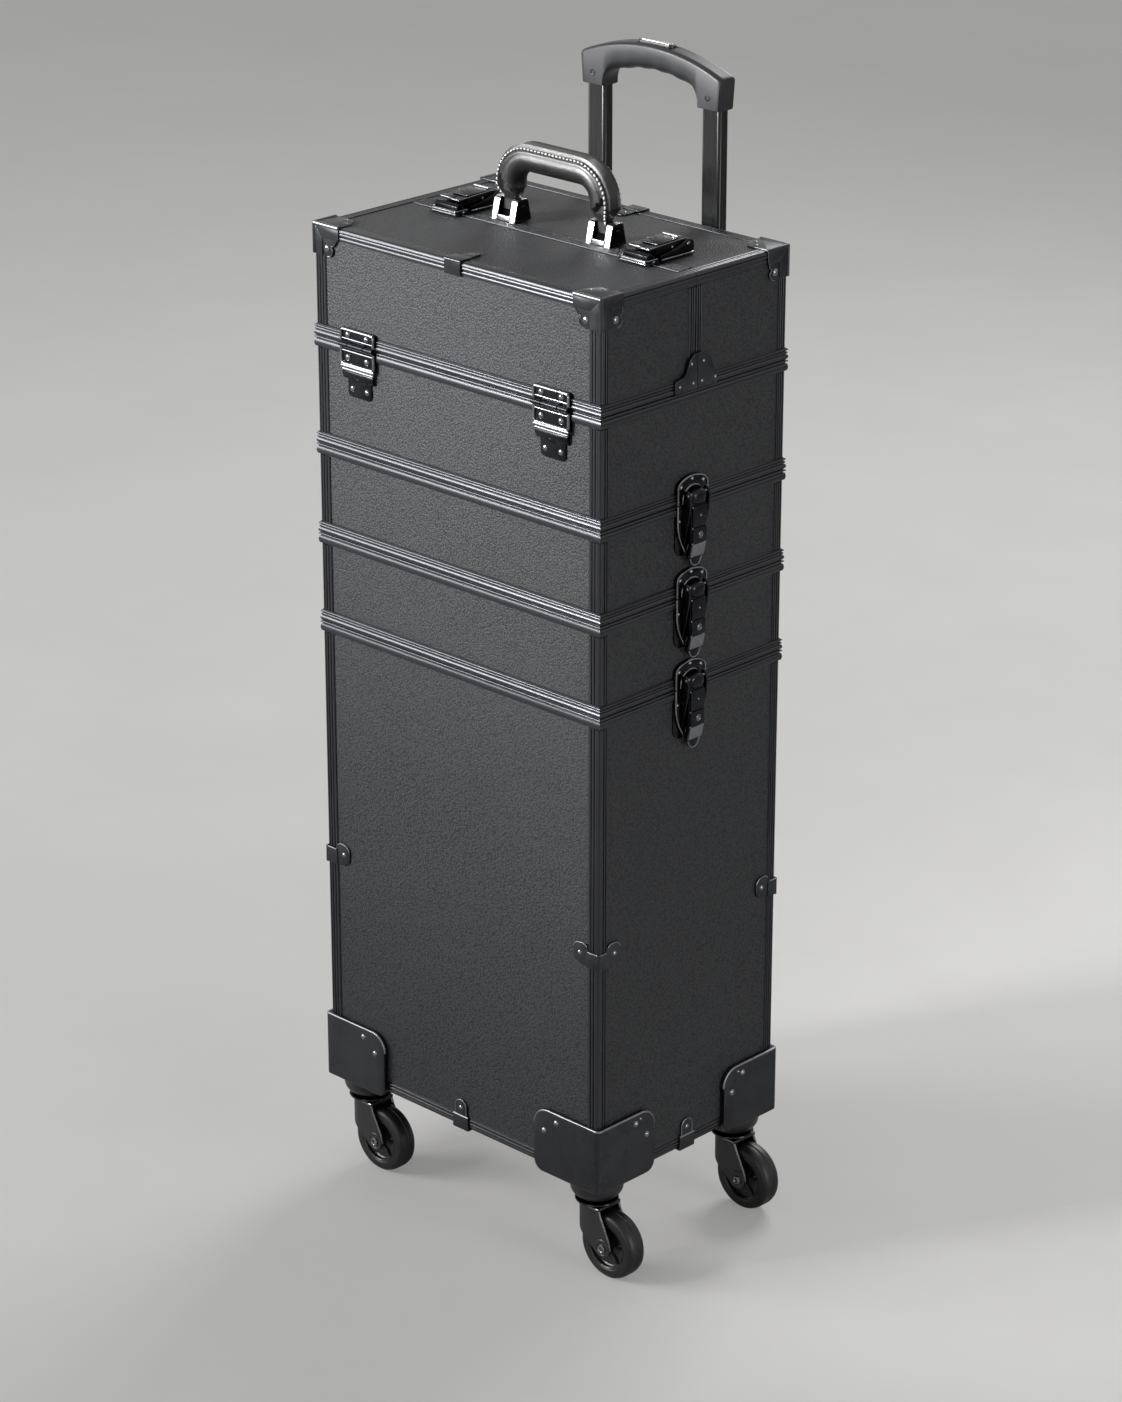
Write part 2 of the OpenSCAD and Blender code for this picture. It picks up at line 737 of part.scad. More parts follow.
// Saddles that screw the outer tubes to the bin, with foot and top collars
module trolley_saddles() color("#161718") place() {
    saddle_low = bin_z + outer_foot + saddle_h;
    saddle_high = outer_top_z - 3 * saddle_h + 6;
    both_x() translate([pole_x, 0, 0]) {
        for (z = [saddle_low, (saddle_low + saddle_high) / 2, saddle_high])
            difference() {
                translate([0, 0, z]) {
                    block([-outer_w / 2 - 4, case_d / 2 - lip_t, 0],
                        [outer_w / 2 + 4, pole_y, saddle_h]);
                    block([-outer_w / 2 - 15, case_d / 2 - lip_t, 0],
                        [outer_w / 2 + 15, case_d / 2 + 2, saddle_h]);
                    for (s = [-1, 1]) translate([s * (outer_w / 2 + 9.5), case_d / 2 + 2,
                        saddle_h / 2])
                        rotate([-90, 0, 0]) rivet();
                }
                translate([0, pole_y, 0]) linear_extrude(top_z) round_rect(outer_w, outer_d, 3);
            }
        // foot block under the tube
        block([-outer_w / 2 - 2, case_d / 2 - lip_t, bin_z + outer_foot - 14],
            [outer_w / 2 + 2, pole_y + outer_d / 2, bin_z + outer_foot]);
        // collar round the mouth of the tube
        translate([0, pole_y, outer_top_z - 14]) linear_extrude(14) difference() {
            round_rect(outer_w + 2 * collar_t, outer_d + 2 * collar_t, 3.5);
            round_rect(outer_w, outer_d, 3);
        }
    }
}

module trolley_middle_tubes() color("#222325") place() {
    pole_pair(middle_foot_z, middle_top_z) tube_2d(middle_w, middle_d, tube_wall);
    pole_pair(middle_top_z - 8, middle_top_z) difference() {
        round_rect(outer_w, outer_d, 3);
        round_rect(middle_w, middle_d, 3);
    }
}

module trolley_inner_tubes() color("#1a1b1d") place()
    pole_pair(inner_foot_z, socket_z + 12) tube_2d(pole_w, pole_d, tube_wall);

// Grip outline, drawn in by i, on the plane of the poles; Y up from the sockets
module grip_outline(i = 0) {
    half_top = pole_x + 15.5;
    half_foot = pole_x + 12;
    socket_w = 23.5;
    shoulder = 28.5;
    sag = crown_h - shoulder;
    outer_arc = (half_top * half_top + sag * sag) / (2 * sag);
    mid_t = 22.5;
    inner_x = half_foot - socket_w;
    inner_sag = 11;
    inner_arc = (inner_x * inner_x + inner_sag * inner_sag) / (2 * inner_sag);
    difference() {
        intersection() {
            polygon([[-half_foot + i, i], [half_foot - i, i], [half_top - i, shoulder + 6],
                [half_top - i, 60], [-half_top + i, 60], [-half_top + i, shoulder + 6]]);
            translate([0, crown_h - outer_arc]) circle(outer_arc - i, $fn = 240);
        }
        // opening between the sockets, with an arched roof and round corners
        difference() {
            translate([0, 30 - 60]) square([2 * (inner_x + i), 2 * 60], center = true);
            difference() {
                translate([-half_top, -eps]) square([2 * half_top, 60]);
                translate([0, crown_h - mid_t - inner_arc]) circle(inner_arc + i, $fn = 200);
            }
        }
    }
    // finger waves under the bar
    for (k = [-1.5:1:1.5])
        translate([18 * k, crown_h - mid_t + 8 - 0.008 * pow(18 * k, 2)]) circle(9.4 - i);
}

module trolley_grip() color("#3a3b3e") place() translate([0, pole_y, socket_z]) {
    chamfer = 2;
    difference() {
        union() {
            for (i = [0, chamfer]) rotate([90, 0, 0])
                linear_extrude(grip_depth - 2 * (chamfer - i), center = true) grip_outline(i);
        }
        // sockets for the inner tubes
        both_x() translate([pole_x, 0, -1]) linear_extrude(13) round_rect(pole_w, pole_d, 3);
        // pocket for the release button
        translate([0, 0, crown_h - button_deep]) linear_extrude(40)
            round_rect(button_w + 2 * button_gap, button_d + 2 * button_gap, 4);
    }
    // socket screws
    both_x() translate([pole_x, -grip_depth / 2, 11]) rotate([90, 0, 0]) rivet(2.4, 0.8);
}

module trolley_button() color("#1a1a1c") place()
    translate([0, pole_y, socket_z + crown_h - button_deep + button_travel + 0.6]) {
        linear_extrude(button_deep - button_travel + 0.9) round_rect(button_w, button_d, 4);
        translate([0, 0, button_deep - button_travel + 0.9])
            linear_extrude(0.8) round_rect(button_w - 3, button_d - 3, 2.6);
    }

// Catch plate of a side latch, above the seam that it closes
module catch_plate() {
    arch = latch_w / 2;
    difference() {
        intersection() {
            union() {
                translate([-arch, 0.5, rim_proud]) cube([latch_w, catch_up, plate_t]);
                translate([-arch, rim_h, -lip_t]) cube([latch_w, catch_up, rim_proud + lip_t]);
            }
            translate([0, 0, -5]) linear_extrude(20) union() {
                translate([-arch, 0.5]) square([latch_w, catch_up - 9]);
                translate([-arch + 9, catch_up - 8.5]) square([latch_w - 18, 8.5]);
                for (s = [-1, 1]) translate([s * (arch - 9), catch_up - 9]) circle(9);
            }
        }
    }
    for (p = [[-arch + 5, 12.5], [-6, 19.5], [6, 19.5], [arch - 5, 12.5]])
        translate([p[0], p[1], rim_proud + plate_t]) rivet(1.9, 0.6);
}

// Fixed base of a side latch, below the seam, with the two ears of its pivot
module latch_base() {
    half = latch_w / 2;
    down = lever_down - 9;
    ear_t = 2.4;
    ear_x = lever_w / 2 + 0.5;
    intersection() {
        union() {
            translate([-half, -down, rim_proud]) cube([latch_w, down - 0.5, plate_t]);
            translate([-half, -down, -lip_t]) cube([latch_w, down - rim_h, rim_proud + lip_t]);
        }
        translate([0, 0, -5]) linear_extrude(20)
            polygon([[-half, -0.5], [half, -0.5], [half, -down * 0.55], [half - 9, -down + 3],
                [half - 12, -down], [-half + 12, -down], [-half + 9, -down + 3],
                [-half, -down * 0.55]]);
    }
    for (s = [-1, 1]) translate([s * (ear_x + ear_t / 2) - ear_t / 2, 0, 0])
        rotate([90, 0, 90]) linear_extrude(ear_t) ear_outline();
    translate([-ear_x - 1, pivot_up, pivot_out]) rotate([0, 90, 0])
        cylinder(d = 3, h = 2 * ear_x + 2);
    for (s = [-1, 1]) translate([s * (half - 3.4), -14, rim_proud + plate_t]) rivet(1.6, 0.6);
}

// Side view of an ear: X up from the seam, Y outward
module ear_outline() {
    back = rim_proud + plate_t;
    lift = back + 0.9;
    polygon([[-34, back - eps], [-0.8, back - eps], [-0.8, lift], [pivot_up, lift],
        [pivot_up, pivot_out + 3.4], [-8, pivot_out + 2], [-34, back + 3]]);
    translate([pivot_up, lift + 3.2]) circle(3.2);
}

// Lever of a side latch: rolled top on the pivot, panelled face, finger tab
module side_lever() {
    low = -lever_down;
    difference() {
        intersection() {
            rotate([90, 0, 90]) linear_extrude(lever_w, center = true) difference() {
                union() {
                    translate([pivot_up, pivot_out]) circle(lever_r);
                    polygon([[pivot_up + 1.2, pivot_out - lever_r + 0.3],
                        [-38, pivot_out - lever_r + 0.3],
                        [low, pivot_out - lever_r + 1.5], [low, pivot_out - lever_r + 4],
                        [-44, pivot_out + 1], [-38, pivot_out + 3.4],
                        [pivot_up + 1.2, pivot_out + lever_r - 0.3]]);
                }
                translate([pivot_up, pivot_out]) circle(1.5 + run_fit);
            }
            // arched head and rounded finger tab, seen from the side of the case
            translate([0, 0, -5]) linear_extrude(40) {
                translate([0, pivot_up + lever_r - lever_w * 0.62])
                    circle(lever_w * 0.62);
                translate([-lever_w / 2, -46]) square([lever_w, pivot_up + 44]);
                translate([-lever_w / 2 + 3, low + 6]) square([lever_w - 6, 12]);
                translate([0, low + 7]) circle(7);
            }
        }
        // seams between the panels of the face, and the lock's hole
        for (v = [0, -20, -35]) translate([-lever_w, v - 0.5, pivot_out + 2.6])
            cube([2 * lever_w, 1, 20]);
        translate([0, -27, pivot_out]) cylinder(d = 4, h = 20);
    }
}

// Three levels of side latches; each stands on the section below its seam
module right_latch(z) {
    place() on_right(latch_y, z) children();
}
module left_latch(z) {
    place() mirror([1, 0, 0]) on_right(latch_y, z) children();
}
module latch_pair(z) {
    right_latch(z) children();
    left_latch(z) children();
}

module bin_latch_bases() color("#26272a") latch_pair(seam_4) latch_base();

module lower_tray_panels() color("#232427") place() section_boards(seam_4, seam_3);
module lower_tray_frame() color("#2c2d30") place() section_frame(seam_4, seam_3);
module lower_tray_latch_plates() color("#26272a") {
    latch_pair(seam_4) catch_plate();
    latch_pair(seam_3) latch_base();
}
module upper_tray_panels() color("#232427") place() section_boards(seam_3, seam_2);
module upper_tray_frame() color("#2c2d30") place() section_frame(seam_3, seam_2);
module upper_tray_latch_plates() color("#26272a") {
    latch_pair(seam_3) catch_plate();
    latch_pair(seam_2) latch_base();
}
module top_case_panels() color("#232427") place() section_boards(seam_2, seam_1);
module top_case_frame() color("#2c2d30") place() section_frame(seam_2, seam_1);
module top_case_latch_plates() color("#26272a") latch_pair(seam_2) catch_plate();

module lower_lever_right() color("#2b2c2f") right_latch(seam_4) side_lever();
module lower_lever_left() color("#2b2c2f") left_latch(seam_4) side_lever();
module middle_lever_right() color("#2b2c2f") right_latch(seam_3) side_lever();
module middle_lever_left() color("#2b2c2f") left_latch(seam_3) side_lever();
module upper_lever_right() color("#2b2c2f") right_latch(seam_2) side_lever();
module upper_lever_left() color("#2b2c2f") left_latch(seam_2) side_lever();

// Hinge on the front face at the lid seam: three knuckles on one pin.
// The fixed leaf carries the outer knuckles and the pin.
module knuckle(from, to) {
    translate([from, 0, knuckle_out]) rotate([0, 90, 0]) difference() {
        cylinder(r = knuckle_r, h = to - from);
        translate([0, 0, -1]) cylinder(r = hinge_pin_d / 2 + run_fit, h = to - from + 2);
    }
}
module fixed_leaf() {
    half = hinge_w / 2;
    tab = half - 6.5;
    out = rim_proud + leaf_t;
    mid = half * mid_knuckle + knuckle_gap;
    step_low = -leaf_down - step_h;
    for (s = [0, 1]) mirror([s, 0, 0]) {
        knuckle(mid, half);
        translate([mid, -knuckle_r - 2, rim_proud]) cube([half - mid, knuckle_r + 1, leaf_t]);
    }
    translate([-half, 0, knuckle_out]) rotate([0, 90, 0])
        cylinder(d = hinge_pin_d, h = hinge_w);
    // flat of the leaf over the rim and below it, then the rolled step
    translate([-half, -rim_h, rim_proud]) cube([hinge_w, rim_h - knuckle_r - 1, leaf_t]);
    translate([-half, -leaf_down, -lip_t]) cube([hinge_w, leaf_down - rim_h, lip_t + out]);
    translate([-half, -leaf_down, 0]) rotate([90, 0, 90]) linear_extrude(hinge_w) intersection() {
        translate([-2, out - 2.5]) circle(4);
        translate([-6, -lip_t]) square([8, 12]);
    }
    rotate([90, 0, 90]) linear_extrude(hinge_w - 5, center = true)
        polygon([[-leaf_down, -lip_t], [-leaf_down, out + 0.6], [-leaf_down - step_h * 0.55, out],
            [step_low + 1, 0.8], [step_low, -lip_t]]);
    // long tab below the step, with round corners
    translate([0, step_low - 5, -lip_t]) linear_extrude(lip_t + leaf_t)
        round_rect(2 * tab, 2 * step_h - 2, 4);
    for (s = [-1, 1]) {
        translate([s * 11, -leaf_down + 8, out]) rivet(2.4, 0.9);
        translate([s * 9, step_low - 8, leaf_t]) rivet();
    }
}

module moving_leaf() {
    half = hinge_w / 2;
    mid = half * mid_knuckle;
    knuckle(-mid, mid);
    translate([-mid, 1, rim_proud]) cube([2 * mid, knuckle_r + 2, leaf_t]);
    translate([-half, knuckle_r + 0.6, rim_proud])
        cube([hinge_w, rim_h - knuckle_r - 0.6, leaf_t]);
    translate([0, 0, -lip_t]) linear_extrude(lip_t + rim_proud + leaf_t) intersection() {
        round_rect(hinge_w, 2 * leaf_up, 3.5);
        translate([-half, rim_h]) square([hinge_w, leaf_up]);
    }
    for (s = [-1, 1]) translate([s * 11, 9, rim_proud + leaf_t]) rivet(2.4, 0.9);
}

module hinge_pairs() {
    both_y() for (s = [-1, 1]) on_front(s * hinge_x, seam_1) children();
}
module top_case_hinge_leaves() color("#26272a") place() hinge_pairs() fixed_leaf();
module front_lid_hinge_leaves() color("#26272a") place() front_half() hinge_pairs() moving_leaf();
module rear_lid_hinge_leaves() color("#26272a") place()
    mirror([0, 1, 0]) front_half() hinge_pairs() moving_leaf();

// Boards and frame of the front lid; the rear lid is its mirror image
module lid_boards() {
    low = seam_1 + rim_seat;
    high = top_z - board_end;
    front_half(split_gap / 2 + split_w - split_slot) {
        wall_boards(low, high);
        cap_board(top_z - board_in);
    }
}

// Extrusion along the split, in a frame with X away from the split
module split_profile() {
    difference() {
        square([split_w, frame_t]);
        translate([split_w - split_slot, lip_t]) square([split_slot + eps, board_t]);
        translate([2.2, -eps]) square([groove_w, groove_deep + eps]);
        translate([5, -eps]) square([groove_w, groove_deep + eps]);
    }
}

module lid_frame() {
    gap = split_gap / 2;
    front_half() {
        rim_above(seam_1);
        for (a = [0, 90, 270]) translate([0, 0, top_z]) bar(a) edge_profile(edge_w, edge_w);
    }
    for (s = [-1, 1]) post(s, seam_1 + rim_h, top_z - edge_w);
    // top bar and two upright bars of the split
    translate([0, -gap, top_z]) rotate([-90, 0, -90])
        linear_extrude(case_w - 2 * edge_w - 2 * butt_gap, center = true) split_profile();
    both_x() translate([case_w / 2, -gap, seam_1 + rim_h + butt_gap])
        linear_extrude(lid_h - rim_h - edge_w - 2 * butt_gap)
            mirror([1, 0]) rotate(-90) split_profile();
}

module front_lid_panels() color("#232427") place() lid_boards();
module rear_lid_panels() color("#232427") place() mirror([0, 1, 0]) lid_boards();
module front_lid_frame() color("#2c2d30") place() lid_frame();
module rear_lid_frame() color("#2c2d30") place() mirror([0, 1, 0]) lid_frame();

// Pressed corner over the lid's top vertex at the right front: bands along the three
// edges, and on each side a thinner ear between two bands, which takes the rivet
module top_corner() {
    x = case_w / 2;
    y = -case_d / 2;
    difference() {
        union() {
            corner_layer(sheet_t) corner_bands();
            corner_layer(ear_t) corner_ear();
        }
        block([-big, y, -big], [x, big, top_z]);
    }
    on_front(x - ear_in, top_z - cap_h + ear_r) translate([0, 0, ear_t]) rivet(2.8, 1.3);
    on_right(y + ear_in, top_z - cap_h + ear_r) translate([0, 0, ear_t]) rivet(2.8, 1.3);
    on_top(x - cap_w + 10, y + 9) translate([0, 0, sheet_t]) rivet(1.8, 0.7);
    on_top(x - 9, y + cap_d - 8) translate([0, 0, sheet_t]) rivet(1.8, 0.7);
}

// Block over the vertex, t proud of the lid on three sides and round on its edges;
// its child outlines both sides, X away from the corner and Y down from the top
module corner_layer(t) {
    x = case_w / 2;
    y = -case_d / 2;
    r = corner_r + t;
    intersection() {
        block([x - cap_w, y - t, top_z - cap_h], [x + t, y + cap_d, top_z + t]);
        translate([0, y - t, top_z + t]) rotate([90, 0, 90]) translate([0, 0, -big])
            linear_extrude(2 * big) soft_corner(r, 60);
        translate([x + t, 0, top_z + t]) rotate([90, 0, 180]) translate([0, 0, -big])
            linear_extrude(2 * big) soft_corner(r, 60);
        translate([x + t, y - t, -big]) rotate([0, 0, 90])
            linear_extrude(3 * big) soft_corner_plan(r, 60);
        translate([x, -big, top_z]) rotate([-90, 0, 0]) linear_extrude(2 * big)
            mirror([1, 0]) children();
        translate([-big, y, top_z]) rotate([90, 0, 90]) linear_extrude(2 * big)
            mirror([0, 1]) children();
    }
}
module corner_bands() {
    translate([-big, -big]) square([2 * big, big + cap_band]);
    translate([-big, 0]) square([big + cap_band, cap_h]);
}
module corner_ear() {
    corner_bands();
    low = cap_h - ear_r;
    polygon([[cap_band - 1, cap_band - 1], [cap_d - 1, cap_band - 1],
        [ear_in + ear_r - 0.2, low - 1.5], [ear_in, low + 1], [cap_band - 1, low + 1]]);
    translate([ear_in, low]) circle(ear_r);
    translate([cap_band - 1, low]) square([ear_in - cap_band + 1, ear_r]);
}

// Quarter plane right of and below the origin with a round corner of radius r
module soft_corner(r, size) {
    translate([r, -size]) square([size, size]);
    translate([0, -size]) square([size, size - r]);
    translate([r, -r]) circle(r);
}
module soft_corner_plan(r, size) {
    translate([r, 0]) square([size, size]);
    translate([0, r]) square([size, size - r]);
    translate([r, r]) circle(r);
}

// Stepped plate at the foot of the split, on the right side of the front lid.
// It lies over the rim, so its upper part is thicker by the rim's height.
module split_fan() {
    plate = 1.2;
    top = fan_h - 4;
    on_right(-split_gap / 2, seam_1) {
        translate([0, 0, rim_proud]) linear_extrude(plate) fan_outline(0.3, top);
        linear_extrude(rim_proud + plate) intersection() {
            fan_outline(rim_h, top);
            translate([-fan_w, rim_h]) square([fan_w, fan_h]);
        }
        for (p = [[-5, 6], [-7, fan_h - 8], [-fan_w + 5, 6]])
            translate([p[0], p[1], rim_proud + plate]) rivet(2.2, 0.9);
    }
}
module fan_outline(low, top) {
    polygon([[0, low], [0, fan_h], [-4, fan_h], [-9, top], [-11, top - 5], [-13, 17],
        [-16, 13.5], [-fan_w + 1, 11.5], [-fan_w, 10.5], [-fan_w, low]]);
}

// Clip over the middle of a lid's front edge
module edge_clip() {
    w = 19;
    translate([0, -case_d / 2, top_z]) {
        block([-w / 2, -sheet_t, -edge_w], [w / 2, 0, sheet_t]);
        block([-w / 2, -sheet_t, 0], [w / 2, edge_w, sheet_t]);
        difference() {
            translate([0, edge_w + ear / 2 - 1, -lip_t])
                linear_extrude(lip_t + 0.6) round_rect(w * 0.62, ear + 2, 4);
            block([-w, 0, -edge_w], [w, edge_w, 0]);
        }
    }
    on_top(0, -case_d / 2 + edge_w + ear / 2) translate([0, 0, 0.6]) rivet();
}

module lid_corners() {
    both_x() {
        top_corner();
        split_fan();
    }
    edge_clip();
}
module front_lid_corners() color("#1d1e20") place() lid_corners();
module rear_lid_corners() color("#1d1e20") place() mirror([0, 1, 0]) lid_corners();

// Top latch, in a frame on the lids with X across, Y back from the split, Z up
module at_top_latch(s) {
    translate([s * top_latch_x, 0, top_z]) children();
}

// Catch on the front lid: its back slopes along the path of the opening lid
module top_catch() {
    half = top_latch_w / 2;
    end_r = catch_back - catch_body + 0.5;
    rotate([90, 0, 90]) linear_extrude(top_latch_w - 8, center = true)
        polygon([[-catch_body, 0], [-1, 0], [-1, 1.5], [-8, 8.8], [2 - catch_body, 8.8],
            [-catch_body, 6.5]]);
    linear_extrude(latch_floor) {
        translate([end_r - half, -catch_back]) square([2 * (half - end_r), catch_back - 1]);
        translate([-half, end_r - catch_back]) square([2 * half, catch_back - end_r - 1]);
        for (s = [-1, 1]) translate([s * (half - end_r), end_r - catch_back]) circle(end_r);
    }
    for (s = [-1, 1]) translate([s * (half - 2.6), -8, latch_floor]) rivet(1.8, 0.8);
}
module front_lid_catches() color("#2e2f32") place()
    for (s = [-1, 1]) at_top_latch(s) top_catch();

// Base on the rear lid: floor plate, two cheeks and the lever's pin
module top_latch_base() {
    half = top_latch_w / 2;
    cheek_x = top_lever_w / 2 + 0.5;
    cheek_t = 2.2;
    end_r = 6;
    back = lever_pivot_y + 8;
    linear_extrude(latch_floor) {
        translate([-half, 1]) square([2 * half, back - end_r - 1]);
        translate([end_r - half, 1]) square([2 * (half - end_r), back - 1]);
        for (s = [-1, 1]) translate([s * (half - end_r), back - end_r]) circle(end_r);
    }
    for (s = [-1, 1]) translate([s * (cheek_x + cheek_t / 2) - cheek_t / 2, 0, 0])
        rotate([90, 0, 90]) linear_extrude(cheek_t) {
            polygon([[3, 0], [lever_pivot_y + 5, 0], [lever_pivot_y + 5, lever_pivot_z],
                [lever_pivot_y - 5, lever_pivot_z + 1], [16, 6], [3, 4.5]]);
            translate([lever_pivot_y, lever_pivot_z]) circle(4.6);
        }
    translate([-cheek_x - 1, lever_pivot_y, lever_pivot_z]) rotate([0, 90, 0])
        cylinder(d = 3, h = 2 * cheek_x + 2);
    for (s = [-1, 1], y = [8, lever_pivot_y - 13])
        translate([s * (half - 2.1), y, latch_floor]) rivet(1.6, 0.7);
}
module top_latch_bases() color("#2e2f32") place()
    for (s = [-1, 1]) at_top_latch(s) top_latch_base();

// Lever of a top latch: hooked nose over the catch, rolled heel on the pin
module top_lever() {
    z0 = 2.4;
    heel = 4.4;
    difference() {
        rotate([90, 0, 90]) linear_extrude(top_lever_w, center = true) difference() {
            union() {
                polygon([[0.8, z0], [lever_pivot_y, z0 + 1.6], [lever_pivot_y, lever_pivot_z + heel],
                    [30, 14], [9, 13.2], [2, 12.2], [-8.2, 12], [-8.4, 11.2], [0.8, 2.4 + 1.6]]);
                translate([lever_pivot_y, lever_pivot_z]) circle(heel);
            }
            translate([lever_pivot_y, lever_pivot_z]) circle(1.5 + run_fit);
        }
        // tapered nose and raised middle panel
        for (s = [-1, 1]) translate([s * top_lever_w / 2, -9, 0]) rotate([0, 0, s * 14])
            translate([s < 0 ? -10 : 0, -4, -1]) cube([10, 16, 30]);
        for (s = [-1, 1]) translate([s * (top_lever_w / 2 - 1.4) - 2, 2, 12.4]) cube([4, 26, 4]);
        for (y = [4, 14]) translate([-top_lever_w, y, 12.7]) cube([2 * top_lever_w, 0.9, 4]);
    }
}
module top_lever_right() color("#303134") place() at_top_latch(1) top_lever();
module top_lever_left() color("#303134") place() at_top_latch(-1) top_lever();

// Brackets of the carry handle: a foot, two tapered cheeks and the pivot pin
module handle_bracket() {
    cheek_tip = 4.1;
    tip_r = 2.5;
    translate([0, handle_y, top_z]) {
        translate([-bracket_across / 2, -bracket_len / 2, 0])
            cube([bracket_across, bracket_len, 2]);
        translate([-bracket_across / 2, -bracket_len / 2, 0])
            cube([bracket_across, 3, 5.5]);
        for (s = [-1, 1]) translate([s * (bracket_across - cheek_wide) / 2 - cheek_wide / 2, 0, 0])
            rotate([90, 0, 90]) linear_extrude(cheek_wide) {
                polygon([[-bracket_len / 2, 0], [bracket_len / 2, 0],
                    [cheek_tip + tip_r, cheek_shoulder], [-cheek_tip - tip_r, cheek_shoulder]]);
                for (e = [-1, 1]) translate([e * cheek_tip, cheek_shoulder]) circle(tip_r);
                translate([-cheek_tip, cheek_shoulder - 2])
                    square([2 * cheek_tip, tip_r + 2]);
            }
        translate([-bracket_across / 2 + 2, 0, handle_pivot_up]) rotate([0, 90, 0])
            cylinder(d = handle_pin_d, h = bracket_across - 4);
    }
}
module handle_brackets() color("#b9babd") place()
    for (s = [-1, 1]) translate([s * bracket_x, 0, 0]) handle_bracket();

// Leather-covered grip: a round bar bent down at both ends, a stitched welt
// along its back, and a tapered strap with an eye at each pivot
module carry_handle() color("#18181a") place() translate([0, handle_y, top_z]) {
    r = grip_d / 2;
    bend = 24;
    leg_x = bracket_x - 2.5;
    axis_z = handle_h - r - 3;
    eye_w = bracket_across - 2 * cheek_wide - 1;
    leg_foot = 27;
    translate([0, 0, axis_z]) rotate([0, 90, 0])
        cylinder(r = r, h = 2 * (leg_x - bend), center = true);
    both_x() {
        translate([leg_x - bend, 0, axis_z - bend]) rotate([90, 0, 0])
            rotate_extrude(angle = 90) translate([bend, 0]) circle(r);
        translate([leg_x, 0, leg_foot]) cylinder(r = r, h = axis_z - bend - leg_foot);
        // tapered strap down to the eye
        difference() {
            union() {
                translate([leg_x, 0, leg_foot - 5]) cylinder(r1 = r - 3.5, r2 = r, h = 5);
                translate([bracket_x - eye_w / 2, -4.6, handle_pivot_up])
                    cube([eye_w, 9.2, leg_foot - 4 - handle_pivot_up]);
                translate([bracket_x - eye_w / 2, 0, handle_pivot_up]) rotate([0, 90, 0])
                    cylinder(d = 9.2, h = eye_w);
            }
            translate([bracket_x - 10, 0, handle_pivot_up]) rotate([0, 90, 0])
                cylinder(r = handle_pin_d / 2 + run_fit, h = 20);
        }
    }
    // welt along the outer side
    rotate([90, 0, 0]) linear_extrude(3.2, center = true) difference() {
        welt_outline(leg_x, axis_z, bend, r + 3, leg_foot);
        welt_outline(leg_x, axis_z, bend, r - 3, leg_foot - 1);
    }
}
module welt_outline(x, z, bend, out, low) {
    half = x + out;
    top = z + out;
    arc = bend + out;
    translate([-half, low]) square([2 * half, top - arc - low]);
    translate([-half + arc, low]) square([2 * (half - arc), top - low]);
    for (s = [-1, 1]) translate([s * (half - arc), top - arc]) intersection() {
        circle(arc);
        translate([-arc, -eps]) square([2 * arc, arc + eps]);
    }
}

// Inner tray of a lid: open box with a divider, carried on two studs per side.
// Points are (Y, Z); the rear mechanism is the mirror image of the front one.

// Studs on the walls of the top case, which carry the arms
module arm_studs() color("#77787b") place() both_y() both_x()
    translate([case_w / 2 - frame_t, arm_foot.x, arm_foot.y]) rotate([0, -90, 0]) {
        cylinder(d = stud_d, h = side_gap + arm_t + 1);
        cylinder(d = stud_d + 4, h = side_gap - 0.3);
        translate([0, 0, side_gap + arm_t + 0.3]) cylinder(d = stud_d + 3, h = 1);
    }

module arm_pair() {
    both_x() translate([case_w / 2 - frame_t - side_gap - arm_t, 0, 0])
        rotate([90, 0, 90]) linear_extrude(arm_t) difference() {
            union() {
                translate(arm_foot) circle(arm_w / 2);
                translate(arm_head) circle(arm_w / 2);
                translate(arm_foot) rotate(arm_angle)
                    translate([0, -arm_w / 2 + 1]) square([arm_len, arm_w - 2]);
            }
            translate(arm_foot) circle(stud_d / 2 + run_fit);
            translate(arm_head) circle(stud_d / 2 + run_fit);
        }
}
module front_arms() color("#6d6e72") place() arm_pair();
module rear_arms() color("#6d6e72") place() mirror([0, 1, 0]) arm_pair();

module inner_tray() {
    low = [-inner_half, inner_front, inner_low];
    difference() {
        translate(low) cube([2 * inner_half, inner_d, inner_h]);
        for (k = [0, 1, 2]) {
            cell = (2 * inner_half - 4 * inner_wall) / 3;
            translate(low + [inner_wall + k * (cell + inner_wall), inner_wall, inner_wall])
                cube([cell, inner_d - 2 * inner_wall, inner_h]);
        }
    }
    both_x() translate([inner_half, arm_head.x, arm_head.y]) rotate([0, 90, 0]) {
        cylinder(d = stud_d, h = arm_t + 3 + 1);
        cylinder(d = stud_d + 4, h = 3 - 0.3);
    }
}
module front_inner_tray() color("#2a2b2e") place() inner_tray();
module rear_inner_tray() color("#2a2b2e") place() mirror([0, 1, 0]) inner_tray();

